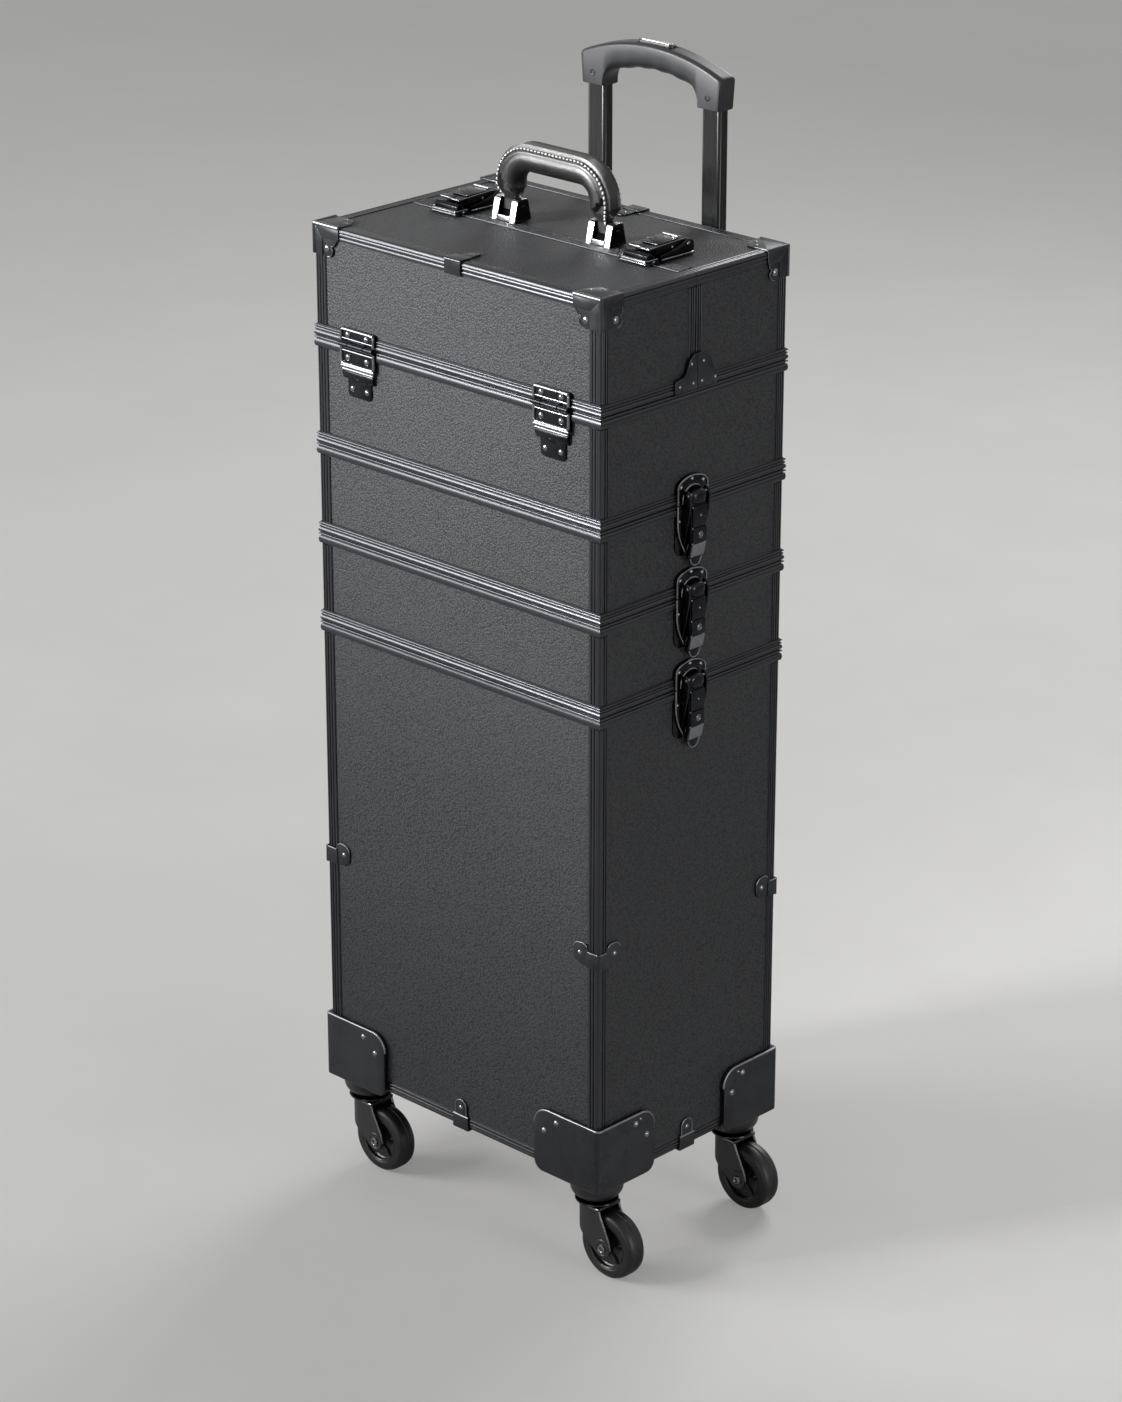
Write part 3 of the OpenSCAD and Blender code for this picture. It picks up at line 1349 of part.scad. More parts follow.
bin_panels();
bin_frame();
corner_brackets();
edge_clips();
bin_rivets();
caster_seats();
bin_latch_bases();
trolley_outer_tubes();
trolley_saddles();
caster_fork_front_right();
caster_wheel_front_right();
caster_fork_front_left();
caster_wheel_front_left();
caster_fork_rear_right();
caster_wheel_rear_right();
caster_fork_rear_left();
caster_wheel_rear_left();
trolley_middle_tubes();
trolley_inner_tubes();
trolley_grip();
trolley_button();
lower_tray_panels();
lower_tray_frame();
lower_tray_latch_plates();
upper_tray_panels();
upper_tray_frame();
upper_tray_latch_plates();
top_case_panels();
top_case_frame();
top_case_latch_plates();
top_case_hinge_leaves();
arm_studs();
front_lid_panels();
front_lid_frame();
front_lid_corners();
front_lid_hinge_leaves();
front_lid_catches();
rear_lid_panels();
rear_lid_frame();
rear_lid_corners();
rear_lid_hinge_leaves();
top_latch_bases();
handle_brackets();
front_arms();
front_inner_tray();
rear_arms();
rear_inner_tray();
carry_handle();
lower_lever_right();
lower_lever_left();
middle_lever_right();
middle_lever_left();
upper_lever_right();
upper_lever_left();
top_lever_right();
top_lever_left();
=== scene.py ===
"""Rolling storage case on casters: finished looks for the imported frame, laid out as an add-on.

The case is drawn in millimetres in its own frame: X across, Y from front to back, Z up from the
floor, with the middle of the case at X = 0 and Y = 0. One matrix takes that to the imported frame.
"""

import math

import bmesh
import bpy
from bpy.props import FloatProperty, FloatVectorProperty, PointerProperty
from mathutils import Matrix, Vector


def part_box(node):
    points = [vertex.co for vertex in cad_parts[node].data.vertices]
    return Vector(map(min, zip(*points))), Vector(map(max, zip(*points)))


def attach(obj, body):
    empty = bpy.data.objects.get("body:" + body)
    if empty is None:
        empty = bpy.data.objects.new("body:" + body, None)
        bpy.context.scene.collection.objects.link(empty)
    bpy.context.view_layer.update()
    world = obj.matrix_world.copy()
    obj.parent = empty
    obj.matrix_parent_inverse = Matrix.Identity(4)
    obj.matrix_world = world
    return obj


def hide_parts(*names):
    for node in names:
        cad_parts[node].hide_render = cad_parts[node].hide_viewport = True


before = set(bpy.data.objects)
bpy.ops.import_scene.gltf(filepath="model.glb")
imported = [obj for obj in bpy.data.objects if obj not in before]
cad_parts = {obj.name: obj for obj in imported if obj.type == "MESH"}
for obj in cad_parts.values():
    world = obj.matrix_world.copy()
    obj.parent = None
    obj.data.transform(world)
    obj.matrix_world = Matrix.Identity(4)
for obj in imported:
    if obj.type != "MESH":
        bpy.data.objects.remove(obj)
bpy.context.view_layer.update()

bl_info = {
    "name": "Rolling storage case",
    "version": (1, 0, 0),
    "blender": (4, 5, 0),
    "location": "3D View > Sidebar > Case",
    "description": "Materials, detailed pieces, studio and camera for the rolling storage case",
    "category": "Object",
}

# Sizes of the case in millimetres, read from the frame; its rims stand out from its faces
MM = 0.001
RIM_PROUD = 1.5
_low, _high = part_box("top_case_frame")
CASE_W = round((_high.x - _low.x) / MM - 2 * RIM_PROUD, 3)
CASE_D = round((_high.y - _low.y) / MM - 2 * RIM_PROUD, 3)
MIDDLE = ((_high + _low) / 2).to_2d().to_3d()
BIN_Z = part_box("bin_frame")[0].z / MM
SEAM_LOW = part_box("lower_tray_frame")[0].z / MM
SEAM_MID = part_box("upper_tray_frame")[0].z / MM
SEAM_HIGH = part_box("top_case_frame")[0].z / MM
SEAM_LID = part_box("front_lid_frame")[0].z / MM
TOP_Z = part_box("front_lid_frame")[1].z / MM
HALF_W = CASE_W / 2
HALF_D = CASE_D / 2
CASE = Matrix.Translation(MIDDLE) @ Matrix.Scale(MM, 4)


def linear(code):
    """Turns an sRGB hex colour into linear light."""
    parts = [int(code[k:k + 2], 16) / 255 for k in (1, 3, 5)]
    return tuple(c / 12.92 if c <= 0.04045 else ((c + 0.055) / 1.055) ** 2.4 for c in parts)


def paint(name, text, code):
    """Colour setting with its default given as sRGB hex."""
    return FloatVectorProperty(name=name, description=text, subtype="COLOR", size=3, min=0, max=1,
                               default=linear(code))


def length(name, text, value, low, high):
    """Size setting in millimetres."""
    return FloatProperty(name=name, description=text, default=value, min=low, max=high)


class CaseSizes(bpy.types.PropertyGroup):
    """Sizes that a user would change, in millimetres"""
    pebble: length("Pebble", "Spacing of the pebbles pressed into the board covering", 1.8, 0.8, 4)
    sheet_edge: length("Sheet edge", "Rounding of pressed sheet edges", 0.5, 0.2, 0.8)
    leather_cell: length("Leather cell", "Spacing of the creases in the leather", 1.1, 0.5, 3)
    stitch_pitch: length("Stitch pitch", "Distance from one stitch to the next", 4.2, 2, 6)
    lens: length("Lens", "Focal length of the camera", 108.74, 50, 200)


class CaseColours(bpy.types.PropertyGroup):
    """Colours of the finishes"""
    cover: paint("Board covering", "Pebble-grain vinyl on the boards", "#232426")
    # painted highlight: pale colour mixed onto the pebble tips in place of their glint
    cover_tip_glint: paint("Covering high spots", "Tips of the pebbles", "#5c5d60")
    lining: paint("Lining", "Flocked lining inside the boxes", "#2f3033")
    anodised: paint("Anodised aluminium", "Dyed and sealed extrusions", "#48494c")
    enamel: paint("Black enamel", "Stoved enamel on pressed steel", "#121315")
    plate: paint("Pressed sheet", "Plating of corners, brackets and clips", "#4a4b4e")
    nickel: paint("Black nickel", "Plating of latches and rivets", "#303134")
    # also painted highlight: this pale colour is laid on rolled rims and edges of dark plates
    rivet: paint("Rivets", "Nickel plated rivets and latch rims", "#8c8d90")
    # on the handle brackets this colour is a painted highlight on the faces that look forward or up
    bright: paint("Bright nickel", "Fronts of the handle brackets", "#d9dadc")
    leather: paint("Handle leather", "Smooth glazed hide", "#141415")
    thread: paint("Thread", "Waxed polyester thread", "#e2e2dc")
    tyre: paint("Tyre", "Thermoplastic rubber", "#131314")
    hub: paint("Hub", "Glass-filled nylon", "#1c1d1f")
    grip: paint("Trolley grip", "Spark-eroded ABS", "#232427")
    tray: paint("Inner tray", "Vacuum-formed ABS", "#1f2023")
    zinc: paint("Zinc plate", "Arms and studs of the inner trays", "#8d9094")
    floor: paint("Floor", "Pale studio floor", "#c4c3c1")


def add_node(tree, kind, links=(), **settings):
    """Adds one shader node; settings are sockets or properties, links are (socket, source)."""
    made = tree.nodes.new(kind)
    for key, value in settings.items():
        socket = made.inputs.get(key.replace("_", " ")) if isinstance(key, str) else None
        if socket is not None and not hasattr(made, key):
            socket.default_value = value
        else:
            setattr(made, key, value)
    for socket, source in links:
        tree.links.new(source, made.inputs[socket])
    return made


def start_material(name, colour, **shader):
    """Adds a material of this colour; returns it, its tree and shader, and its place in metres."""
    made = bpy.data.materials.new(name)
    made.use_nodes = True
    tree = made.node_tree
    base = tree.nodes["Principled BSDF"]
    base.inputs["Base Color"].default_value = (*colour, 1)
    for key, value in shader.items():
        base.inputs[key.replace("_", " ")].default_value = value
    made.diffuse_color = (*colour, 1)
    return made, tree, base, add_node(tree, "ShaderNodeTexCoord").outputs["Object"]


# Values of a noise pattern between which its patches fade, and the two ways that a drawn
# bar's lines run: round the case or up a post
PATCH_RANGE = (0.3, 0.7)
ALONG_XY = (0.03, 0.03, 1)
ALONG_Z = (1, 1, 0.03)


def per_metre(spacing):
    """Texture scale that repeats every so many millimetres."""
    return 1 / (spacing * MM)


def shade(colour, factor):
    """A colour made lighter or darker by a factor."""
    return (*[min(1, c * factor) for c in colour], 1)


def cloud(tree, base, colour, place, spacing, low, high):
    """Soft patches of colour between two shades, at a spacing in millimetres."""
    noise = add_node(tree, "ShaderNodeTexNoise", [("Vector", place)], Scale=per_metre(spacing),
                     Detail=3.0, Roughness=0.6)
    ramp = add_node(tree, "ShaderNodeValToRGB", [("Fac", noise.outputs["Fac"])])
    for stop, position, factor in zip(ramp.color_ramp.elements, PATCH_RANGE, (low, high)):
        stop.position = position
        stop.color = shade(colour, factor)
    tree.links.new(ramp.outputs["Color"], base.inputs["Base Color"])
    return noise.outputs["Fac"]


def surface(tree, base, patch=None, rough=(), height=None, strength=0.0, depth=0.0):
    """Patches vary the roughness between two values; a height presses a relief so deep in mm."""
    if patch:
        dull = add_node(tree, "ShaderNodeMapRange", [("Value", patch)], From_Min=PATCH_RANGE[0],
                        From_Max=PATCH_RANGE[1], To_Min=rough[0], To_Max=rough[1])
        tree.links.new(dull.outputs["Result"], base.inputs["Roughness"])
    if height:
        relief = add_node(tree, "ShaderNodeBump", [("Height", height)], Strength=strength,
                          Distance=depth * MM)
        tree.links.new(relief.outputs["Normal"], base.inputs["Normal"])


def pressed_vinyl(look, size):
    # Vinyl covering, embossed with a pebble grain: dark, semi-matt, each pebble's crown painted
    # lighter as a soft painted highlight. Drawn at 1.8 mm so that the grain shows in the render.
    made, tree, base, place = start_material("vinyl pressed with pebble grain", look.cover,
                                             Specular_IOR_Level=0.3, IOR=1.52)
    warp = add_node(tree, "ShaderNodeTexNoise", [("Vector", place)],
                    Scale=per_metre(size.pebble * 2), Detail=1.0)
    shift = [("Color1", place), ("Color2", warp.outputs["Color"])]
    bent = add_node(tree, "ShaderNodeMixRGB", shift, blend_type="LINEAR_LIGHT", Fac=0.0006)
    cell = add_node(tree, "ShaderNodeTexVoronoi", [("Vector", bent.outputs["Color"])],
                    feature="SMOOTH_F1", Scale=per_metre(size.pebble), Smoothness=0.35)
    patch = cloud(tree, base, look.cover, place, 160, 0.86, 1.16)
    tips = add_node(tree, "ShaderNodeMapRange", [("Value", cell.outputs["Distance"])],
                    From_Min=0.15, From_Max=0.75, To_Min=1.0, To_Max=0.0).outputs["Result"]
    # painted highlight: the tips of the pebbles are mixed toward the pale glint colour
    tip_glint = add_node(tree, "ShaderNodeMath", [(0, tips)], operation="MULTIPLY")
    tip_glint.inputs[1].default_value = 0.35
    colour = add_node(tree, "ShaderNodeMixRGB", [
        ("Fac", tip_glint.outputs["Value"]),
        ("Color1", base.inputs["Base Color"].links[0].from_socket)], Color2=(*look.cover_tip_glint, 1))
    tree.links.new(colour.outputs["Color"], base.inputs["Base Color"])
    surface(tree, base, patch, (0.5, 0.62), tips, 0.8, 0.4)
    return made


def flocked_lining(look):
    # Flocked board lining: short nylon pile, dull, with a pale sheen at grazing angles.
    made, tree, base, place = start_material("flocked nylon lining", look.lining, Roughness=0.95,
                                             Sheen_Weight=0.35, Sheen_Roughness=0.5)
    cloud(tree, base, look.lining, place, 45, 0.85, 1.12)
    pile = add_node(tree, "ShaderNodeTexNoise", [("Vector", place)], Scale=per_metre(1.2),
                    Detail=2.0)
    surface(tree, base, height=pile.outputs["Fac"], strength=0.4, depth=0.3)
    return made


def drawn_metal(name, colour, rough, metallic, stretch):
    # Fine lines left by the die run along the bar, so highlights stay long and narrow. Drawn
    # at 2.2 mm so that they show in the render.
    made, tree, base, place = start_material(name, colour, Metallic=metallic)
    scaled = add_node(tree, "ShaderNodeMapping", [("Vector", place)])
    scaled.inputs["Scale"].default_value = stretch
    line = add_node(tree, "ShaderNodeTexNoise", [("Vector", scaled.outputs["Vector"])],
                    Scale=per_metre(2.2), Detail=2.0)
    cloud(tree, base, colour, place, 90, 0.92, 1.08)
    surface(tree, base, line.outputs["Fac"], rough)
    return made


def plated_metal(name, colour, rough, spacing=14, ripple=0.05):
    # Plating over pressed steel: mirror-like, with faint waves and a few duller patches.
    made, tree, base, place = start_material(name, colour, Metallic=1.0)
    patch = cloud(tree, base, colour, place, spacing, 0.85, 1.1)
    surface(tree, base, patch, rough, patch, ripple, 0.4)
    return made


def stoved_enamel(look):
    # Stoved enamel on pressed steel: satin black with a very fine orange peel.
    made, tree, base, place = start_material("stoved enamel on pressed steel", look.enamel,
                                             Coat_Weight=0.25, Coat_Roughness=0.22)
    patch = cloud(tree, base, look.enamel, place, 20, 0.85, 1.2)
    peel = add_node(tree, "ShaderNodeTexNoise", [("Vector", place)], Scale=per_metre(1.6),
                    Detail=1.0)
    surface(tree, base, patch, (0.34, 0.46), peel.outputs["Fac"], 0.15, 0.2)
    return made


def moulded(name, colour, rough, spacing, strength):
    # Moulded plastic: the tool's texture gives an even fine grain and a broad dull highlight.
    made, tree, base, place = start_material(name, colour, IOR=1.5)
    patch = cloud(tree, base, colour, place, 25, 0.88, 1.14)
    grain = add_node(tree, "ShaderNodeTexNoise", [("Vector", place)], Scale=per_metre(spacing),
                     Detail=2.0)
    surface(tree, base, patch, rough, grain.outputs["Fac"], strength, 0.2)
    return made


def glazed_leather(look, size):
    # Glazed hide pulled tight over a core: fine creases, and a soft sheen that is glossier in
    # some patches than in others.
    made, tree, base, place = start_material("glazed calf leather", look.leather, Coat_Weight=0.2,
                                             Coat_Roughness=0.22, Specular_IOR_Level=0.55)
    patch = cloud(tree, base, look.leather, place, 14, 0.8, 1.35)
    crease = add_node(tree, "ShaderNodeTexVoronoi", [("Vector", place)],
                      feature="DISTANCE_TO_EDGE", Scale=per_metre(size.leather_cell))
    edge = add_node(tree, "ShaderNodeMapRange", [("Value", crease.outputs["Distance"])],
                    From_Max=0.12)
    surface(tree, base, patch, (0.27, 0.4), edge.outputs["Result"], 0.3, 0.12)
    return made


def waxed_thread(look):
    # Waxed polyester thread: pale against the hide, its twist too fine to see but as a ripple.
    made, tree, base, place = start_material("waxed polyester thread", look.thread, Roughness=0.55,
                                             Sheen_Weight=0.2)
    twist = add_node(tree, "ShaderNodeTexWave", [("Vector", place)], Scale=per_metre(2),
                     Distortion=1.0)
    surface(tree, base, height=twist.outputs["Fac"], strength=0.3, depth=0.1)
    return made


FINISH = {}


def finish_named(name):
    """Material of a finish; all of them are made when the first is asked for."""
    if not FINISH:
        look = bpy.context.scene.case_colours
        size = bpy.context.scene.case_sizes
        dark_tube, dark_button = shade(look.enamel, 0.9)[:3], shade(look.grip, 0.45)[:3]
        FINISH.update(
            cover=pressed_vinyl(look, size),
            lining=flocked_lining(look),
            across=drawn_metal("anodised aluminium extrusion", look.anodised, (0.22, 0.3), 0.9,
                               ALONG_XY),
            upright=drawn_metal("anodised aluminium post", look.anodised, (0.24, 0.32), 0.9,
                                ALONG_Z),
            tube=drawn_metal("satin enamelled steel tube", dark_tube, (0.26, 0.34), 0.1, ALONG_Z),
            enamel=stoved_enamel(look),
            plate=plated_metal("black plated steel sheet", look.plate, (0.24, 0.34), spacing=30),
            nickel=plated_metal("black nickel plate", look.nickel, (0.16, 0.3)),
            # the rivet and panel colours also paint highlights on rolled rims, beads and strips
            rivet=plated_metal("nickel plated rivet and painted edge highlight", look.rivet, (0.12, 0.2), spacing=4),
            panel=plated_metal("satin nickel panel and painted edge highlight", look.rivet, (0.34, 0.42), spacing=6),
            bright=plated_metal("bright nickel plate and painted highlight", look.bright, (0.1, 0.2)),
            zinc=plated_metal("zinc plated steel", look.zinc, (0.32, 0.48), spacing=9, ripple=0.12),
            leather=glazed_leather(look, size),
            thread=waxed_thread(look),
            tyre=moulded("thermoplastic rubber tyre", look.tyre, (0.38, 0.5), 1.3, 0.12),
            hub=moulded("glass-filled nylon hub", look.hub, (0.2, 0.28), 1.2, 0.08),
            grip=moulded("spark-eroded ABS grip", look.grip, (0.34, 0.44), 0.9, 0.2),
            button=moulded("polished ABS button", dark_button, (0.22, 0.3), 2, 0.06),
            tray=moulded("vacuum-formed ABS tray", look.tray, (0.42, 0.54), 1.1, 0.25),
        )
    return FINISH[name]


# Shapes: each is made in its own millimetres, then set in the case by a matrix. The first two
# stand a flat outline up: on the front, X across, and on the right side, X toward the back;
# both have Y up and Z outward.
UPRIGHT = Matrix(((1, 0, 0, 0), (0, 0, -1, 0), (0, 1, 0, 0), (0, 0, 0, 1)))
ACROSS = Matrix(((0, 0, 1, 0), (1, 0, 0, 0), (0, 1, 0, 0), (0, 0, 0, 1)))
FLIP_X = Matrix.Diagonal((-1, 1, 1, 1))
FLIP_Y = Matrix.Diagonal((1, -1, 1, 1))
FLIP_Z = Matrix.Diagonal((1, 1, -1, 1))
SIDEWAYS = Matrix.Rotation(math.radians(90), 4, "Y")
SIDE_UP = Matrix.Rotation(math.radians(90), 4, "X")
SHARP = math.radians(32)


def at(x=0, y=0, z=0):
    """Move by millimetres."""
    return Matrix.Translation((x, y, z))


def turned(degrees, axis="Z"):
    """Turn about an axis."""
    return Matrix.Rotation(math.radians(degrees), 4, axis)


def on_front(x, z):
    """Frame on the front face: X across, Y up, Z outward."""
    return at(x, -HALF_D, z) @ UPRIGHT


def on_rear(x, z):
    """Frame on the rear face: the front one mirrored."""
    return FLIP_Y @ on_front(x, z)


def on_right(y, z):
    """Frame on the right face: X toward the back, Y up, Z outward."""
    return at(HALF_W, y, z) @ ACROSS


def on_lids(x, y):
    """Frame on top of the lids: X across, Y toward the back, Z up."""
    return at(x, y, TOP_Z)


def mirrored(a, b):
    """Mirror that points X and Y inward on side a of X and b of Y."""
    return Matrix.Diagonal((-a, -b, 1, 1))


def rounded(corners, steps=5):
    """Outline through corners given as (x, y, radius), each rounded by an arc."""
    out = []
    count = len(corners)
    for k, (x, y, r) in enumerate(corners):
        here = Vector((x, y))
        if r <= 0:
            out.append((x, y))
            continue
        before = Vector(corners[k - 1][:2]) - here
        after = Vector(corners[(k + 1) % count][:2]) - here
        half = before.angle(after) / 2
        cut = min(r / math.tan(half), before.length * 0.499, after.length * 0.499)
        radius = cut * math.tan(half)
        centre = here + (before.normalized() + after.normalized()).normalized() * (
            radius / math.sin(half))
        a = here + before.normalized() * cut - centre
        b = here + after.normalized() * cut - centre
        for i in range(steps + 1):
            t = i / steps
            p = a.slerp(b, t, a * (1 - t) + b * t) if a.length > 1e-9 else a
            out.append(tuple(centre + p.normalized() * radius))
    return out


def arc(x, y, r, start, end, steps, high=None):
    """Points round (x, y) from one angle to another, on an ellipse where a height is given."""
    angles = [math.radians(start + (end - start) * k / steps) for k in range(steps + 1)]
    return [(x + r * math.cos(a), y + (high or r) * math.sin(a)) for a in angles]


def clamp(value):
    """A value held between 0 and 1."""
    return min(1, max(0, value))


def box_outline(x0, y0, x1, y1, r=0):
    """Rectangle with rounded corners."""
    return rounded([(x0, y0, r), (x1, y0, r), (x1, y1, r), (x0, y1, r)])


class Maker:
    """Collects the solids of one piece; each solid has a finish, by its place in the list."""

    def __init__(self):
        self.bm = bmesh.new()

    def take(self, part, matrix, finish):
        """Moves one finished solid into the piece."""
        for face in part.faces:
            face.material_index = finish
            face.smooth = True
        part.transform(matrix)
        if matrix.determinant() < 0:
            bmesh.ops.reverse_faces(part, faces=part.faces)
        mesh = bpy.data.meshes.new("part")
        part.to_mesh(mesh)
        part.free()
        self.bm.from_mesh(mesh)
        bpy.data.meshes.remove(mesh)

    def slab(self, outline, z0, z1, matrix=Matrix(), finish=0, soft=0.4, steps=2):
        """Flat plate of an outline, which may give its corners radii, with its rims rounded."""
        if len(outline[0]) == 3:
            outline = rounded(outline)
        part = bmesh.new()
        verts = [part.verts.new((x, y, z0)) for x, y in outline]
        face = part.faces.new(verts)
        if face.normal.z == 0:
            face.normal_update()
        made = bmesh.ops.extrude_face_region(part, geom=[face])
        top = [g for g in made["geom"] if isinstance(g, bmesh.types.BMVert)]
        bmesh.ops.translate(part, verts=top, vec=(0, 0, z1 - z0))
        bmesh.ops.recalc_face_normals(part, faces=part.faces)
        if soft:
            edges = [e for e in part.edges if e.calc_face_angle(0) > 0.6 and
                     abs(e.verts[0].co.z - e.verts[1].co.z) < 1e-6]
            bmesh.ops.bevel(part, geom=edges, offset=soft, segments=steps, profile=0.5,
                            affect="EDGES", clamp_overlap=True)
        self.take(part, matrix, finish)

    def turn(self, profile, matrix=Matrix(), finish=0, steps=40, closed=False):
        """Solid of revolution about Z from (radius, height) points."""
        part = bmesh.new()
        rings = []
        for r, z in profile:
            if r < 1e-6:
                rings.append([part.verts.new((0, 0, z))])
            else:
                rings.append([part.verts.new((r * math.cos(a), r * math.sin(a), z)) for a in
                              (2 * math.pi * k / steps for k in range(steps))])
        pairs = list(zip(rings, rings[1:]))
        if closed:
            pairs.append((rings[-1], rings[0]))
        for low, high in pairs:
            for k in range(steps):
                n = (k + 1) % steps
                quad = [low[k % len(low)], low[n % len(low)], high[n % len(high)],
                        high[k % len(high)]]
                quad = list(dict.fromkeys(quad))
                if len(quad) > 2:
                    part.faces.new(quad)
        bmesh.ops.recalc_face_normals(part, faces=part.faces)
        self.take(part, matrix, finish)

    def loft(self, rings, matrix=Matrix(), finish=0, looped=False):
        """Skin over closed rings of equally many points, capped unless it is looped."""
        part = bmesh.new()
        made = [[part.verts.new(p) for p in ring] for ring in rings]
        pairs = list(zip(made, made[1:]))
        if looped:
            pairs.append((made[-1], made[0]))
        for low, high in pairs:
            for k in range(len(low)):
                n = (k + 1) % len(low)
                part.faces.new([low[k], low[n], high[n], high[k]])
        if not looped:
            part.faces.new(made[0][::-1])
            part.faces.new(made[-1])
        bmesh.ops.recalc_face_normals(part, faces=part.faces)
        self.take(part, matrix, finish)

    def pipe(self, path, radius, matrix=Matrix(), finish=0, steps=10):
        """Round bar along a path; the radius may be a number or one for each point."""
        points = [Vector(p) for p in path]
        rings = []
        side = None
        for k, p in enumerate(points):
            along = (points[min(k + 1, len(points) - 1)] - points[max(k - 1, 0)]).normalized()
            if side is None:
                side = along.orthogonal().normalized()
            side = (side - along * side.dot(along)).normalized()
            up = along.cross(side)
            r = radius[k] if isinstance(radius, list) else radius
            rings.append([p + side * (r * math.cos(t)) + up * (r * math.sin(t)) for t in
                          (2 * math.pi * i / steps for i in range(steps))])
        self.loft(rings, matrix, finish)

    def rim(self, points, height, radius, matrix=Matrix(), finish=1, steps=8):
        """Round bar along a flat line at one height, as on a rolled edge; pale finish 1 is a
        painted highlight.
        """
        self.pipe([(x, y, height) for x, y in points], radius, matrix, finish, steps)

    def rivet(self, r, h, matrix=Matrix(), finish=1):
        """Domed rivet head on a thin flange."""
        self.turn([(0, h), (r * 0.35, h * 0.95), (r * 0.68, h * 0.72), (r * 0.9, h * 0.4),
                   (r, h * 0.12), (r, -0.3), (0, -0.3)], matrix, finish, steps=20)

    def pin(self, r, half, matrix, finish=0, steps=16):
        """Plain pin along Z, so far to each side."""
        self.turn([(0, -half), (r, -half), (r, half), (0, half)], matrix, finish, steps)

    def piece(self, name, finishes, body, replaces, slot, pick=None):
        """Makes a finished piece that rides on a body; pick may give each face its finish."""
        mesh = bpy.data.meshes.new(name)
        if pick:
            self.bm.normal_update()
            for face in self.bm.faces:
                face.material_index = pick(face)
        self.bm.transform(CASE)
        self.bm.to_mesh(mesh)
        self.bm.free()
        for finish in finishes:
            mesh.materials.append(finish_named(finish))
        made = bpy.data.objects.new(name, mesh)
        bpy.context.scene.collection.objects.link(made)
        mesh.set_sharp_from_angle(angle=SHARP)
        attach(made, body)
        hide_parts(replaces)
        return made


def dress(node, finish, soft=0.0, inside=None, is_inside=None):
    """Gives a CAD node its finish and breaks its edges; faces that are inside get another."""
    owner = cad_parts[node]
    mesh = owner.data
    mesh.materials.clear()
    mesh.materials.append(finish_named(finish))
    if inside:
        mesh.materials.append(finish_named(inside))
        for face in mesh.polygons:
            face.material_index = int(is_inside(face.center))
    if soft:
        weld = owner.modifiers.new("Weld", "WELD")
        weld.merge_threshold = 1e-6
        flat = owner.modifiers.new("Flats", "DECIMATE")
        flat.decimate_type = "DISSOLVE"
        flat.angle_limit = math.radians(1)
        edge = owner.modifiers.new("Edges", "BEVEL")
        edge.width = soft * MM
        edge.segments = 2
        edge.limit_method = "ANGLE"
        edge.angle_limit = SHARP
        edge.use_clamp_overlap = True
        edge.harden_normals = True


SECTIONS = ("bin", "lower_tray", "upper_tray", "top_case", "front_lid", "rear_lid")
# Depth below a board's outer face at which its inside begins
BOARD_SKIN = 2.6 * MM


class CASE_OT_boards(bpy.types.Operator):
    """Cover the boards with vinyl outside and flocked lining inside"""
    bl_idname = "case.boards"
    bl_label = "Boards"

    def execute(self, context):
        for section in SECTIONS:
            low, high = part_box(f"{section}_panels")
            under_lid = section in ("front_lid", "rear_lid")

            def inner(centre):
                across = all(low[k] + BOARD_SKIN < centre[k] < high[k] - BOARD_SKIN for k in (0, 1))
                return across and centre.z > low.z + BOARD_SKIN and (
                    not under_lid or centre.z < high.z - BOARD_SKIN)

            dress(f"{section}_panels", "cover", inside="lining", is_inside=inner)
        return {"FINISHED"}


# Extrusions: raised bands with narrow grooves between, as on the real bars. A band is (from,
# to, height at its edges, height of its crown above them), with a short slope at each side.
BAND_EDGE = 0.12
# Inner side and lips of every bar, measured out from the face of the case
INNER = -7.4
LIP = -1.25
# Widths of the rims, of the lids' edges, of the bin's foot and of the bars at the split
RIM = 11
EDGE = 12.5
FOOT = 11.5
SPLIT_W = 8.5
# Half of the gap between the lids
SPLIT_GAP = 0.25


def flutes(bands, floor):
    """Fluted face as (distance, height) points."""
    points = []
    for start, end, edge, crown in bands:
        points.append((start, floor))
        for k in range(7):
            u = k / 3 - 1
            points.append((start + BAND_EDGE + (end - start - 2 * BAND_EDGE) * k / 6,
                           edge + crown * (1 - u * u)))
        points.append((end, floor))
    return points


def rim_section(tongue):
    """Section of a rim as (outward, up) points, measured away from its seam."""
    if tongue:
        bands = [(0.3, 2.4, 0.7, 0.8), (3.6, 9.9, 0.7, 0.7)]
        inner = [(INNER, 0.12), (-6.4, 0.12), (-6.4, -2.5), (-5.7, -3.3), (-5.0, -3.3),
                 (-4.4, -2.5), (-4.4, 0.12)]
    else:
        bands = [(0.3, 4.4, 0.6, 0.85), (4.9, 6.9, 0.55, 0.3), (7.7, 9.6, 0.7, 0.5)]
        inner = [(INNER, 0.12), (-6.8, 0.12), (-6.8, 3.9), (-4.0, 3.9), (-4.0, 0.12)]
    outer = [(h, t) for t, h in flutes(bands, -0.2)]
    return [*outer, (-0.3, 10.3), (LIP, 10.95), (INNER, 10.95), *inner, (-0.2, 0.12)]


def edge_section(wide):
    """Section of an edge bar as (outward, up) points, its round corner at (0, 0)."""
    far = wide - 1.1
    mid = 4.4 + (far - 4.4) * 0.48
    bands = [(4.4, mid - 0.25, -0.45, 0.42), (mid + 0.25, far, -0.45, 0.42)]
    side = [(h, -t) for t, h in flutes(bands, -1.0)]
    top = [(-t, h) for t, h in flutes(bands, -1.0)]
    corner = arc(-3.6, -3.6, 3.6, 0, 90, 8)
    return [(INNER, -wide), (LIP, -wide), (-0.9, 0.3 - wide), *side[::-1], *corner, *top,
            (0.3 - wide, -0.9), (-wide, LIP), (-wide, INNER), (INNER, INNER)]


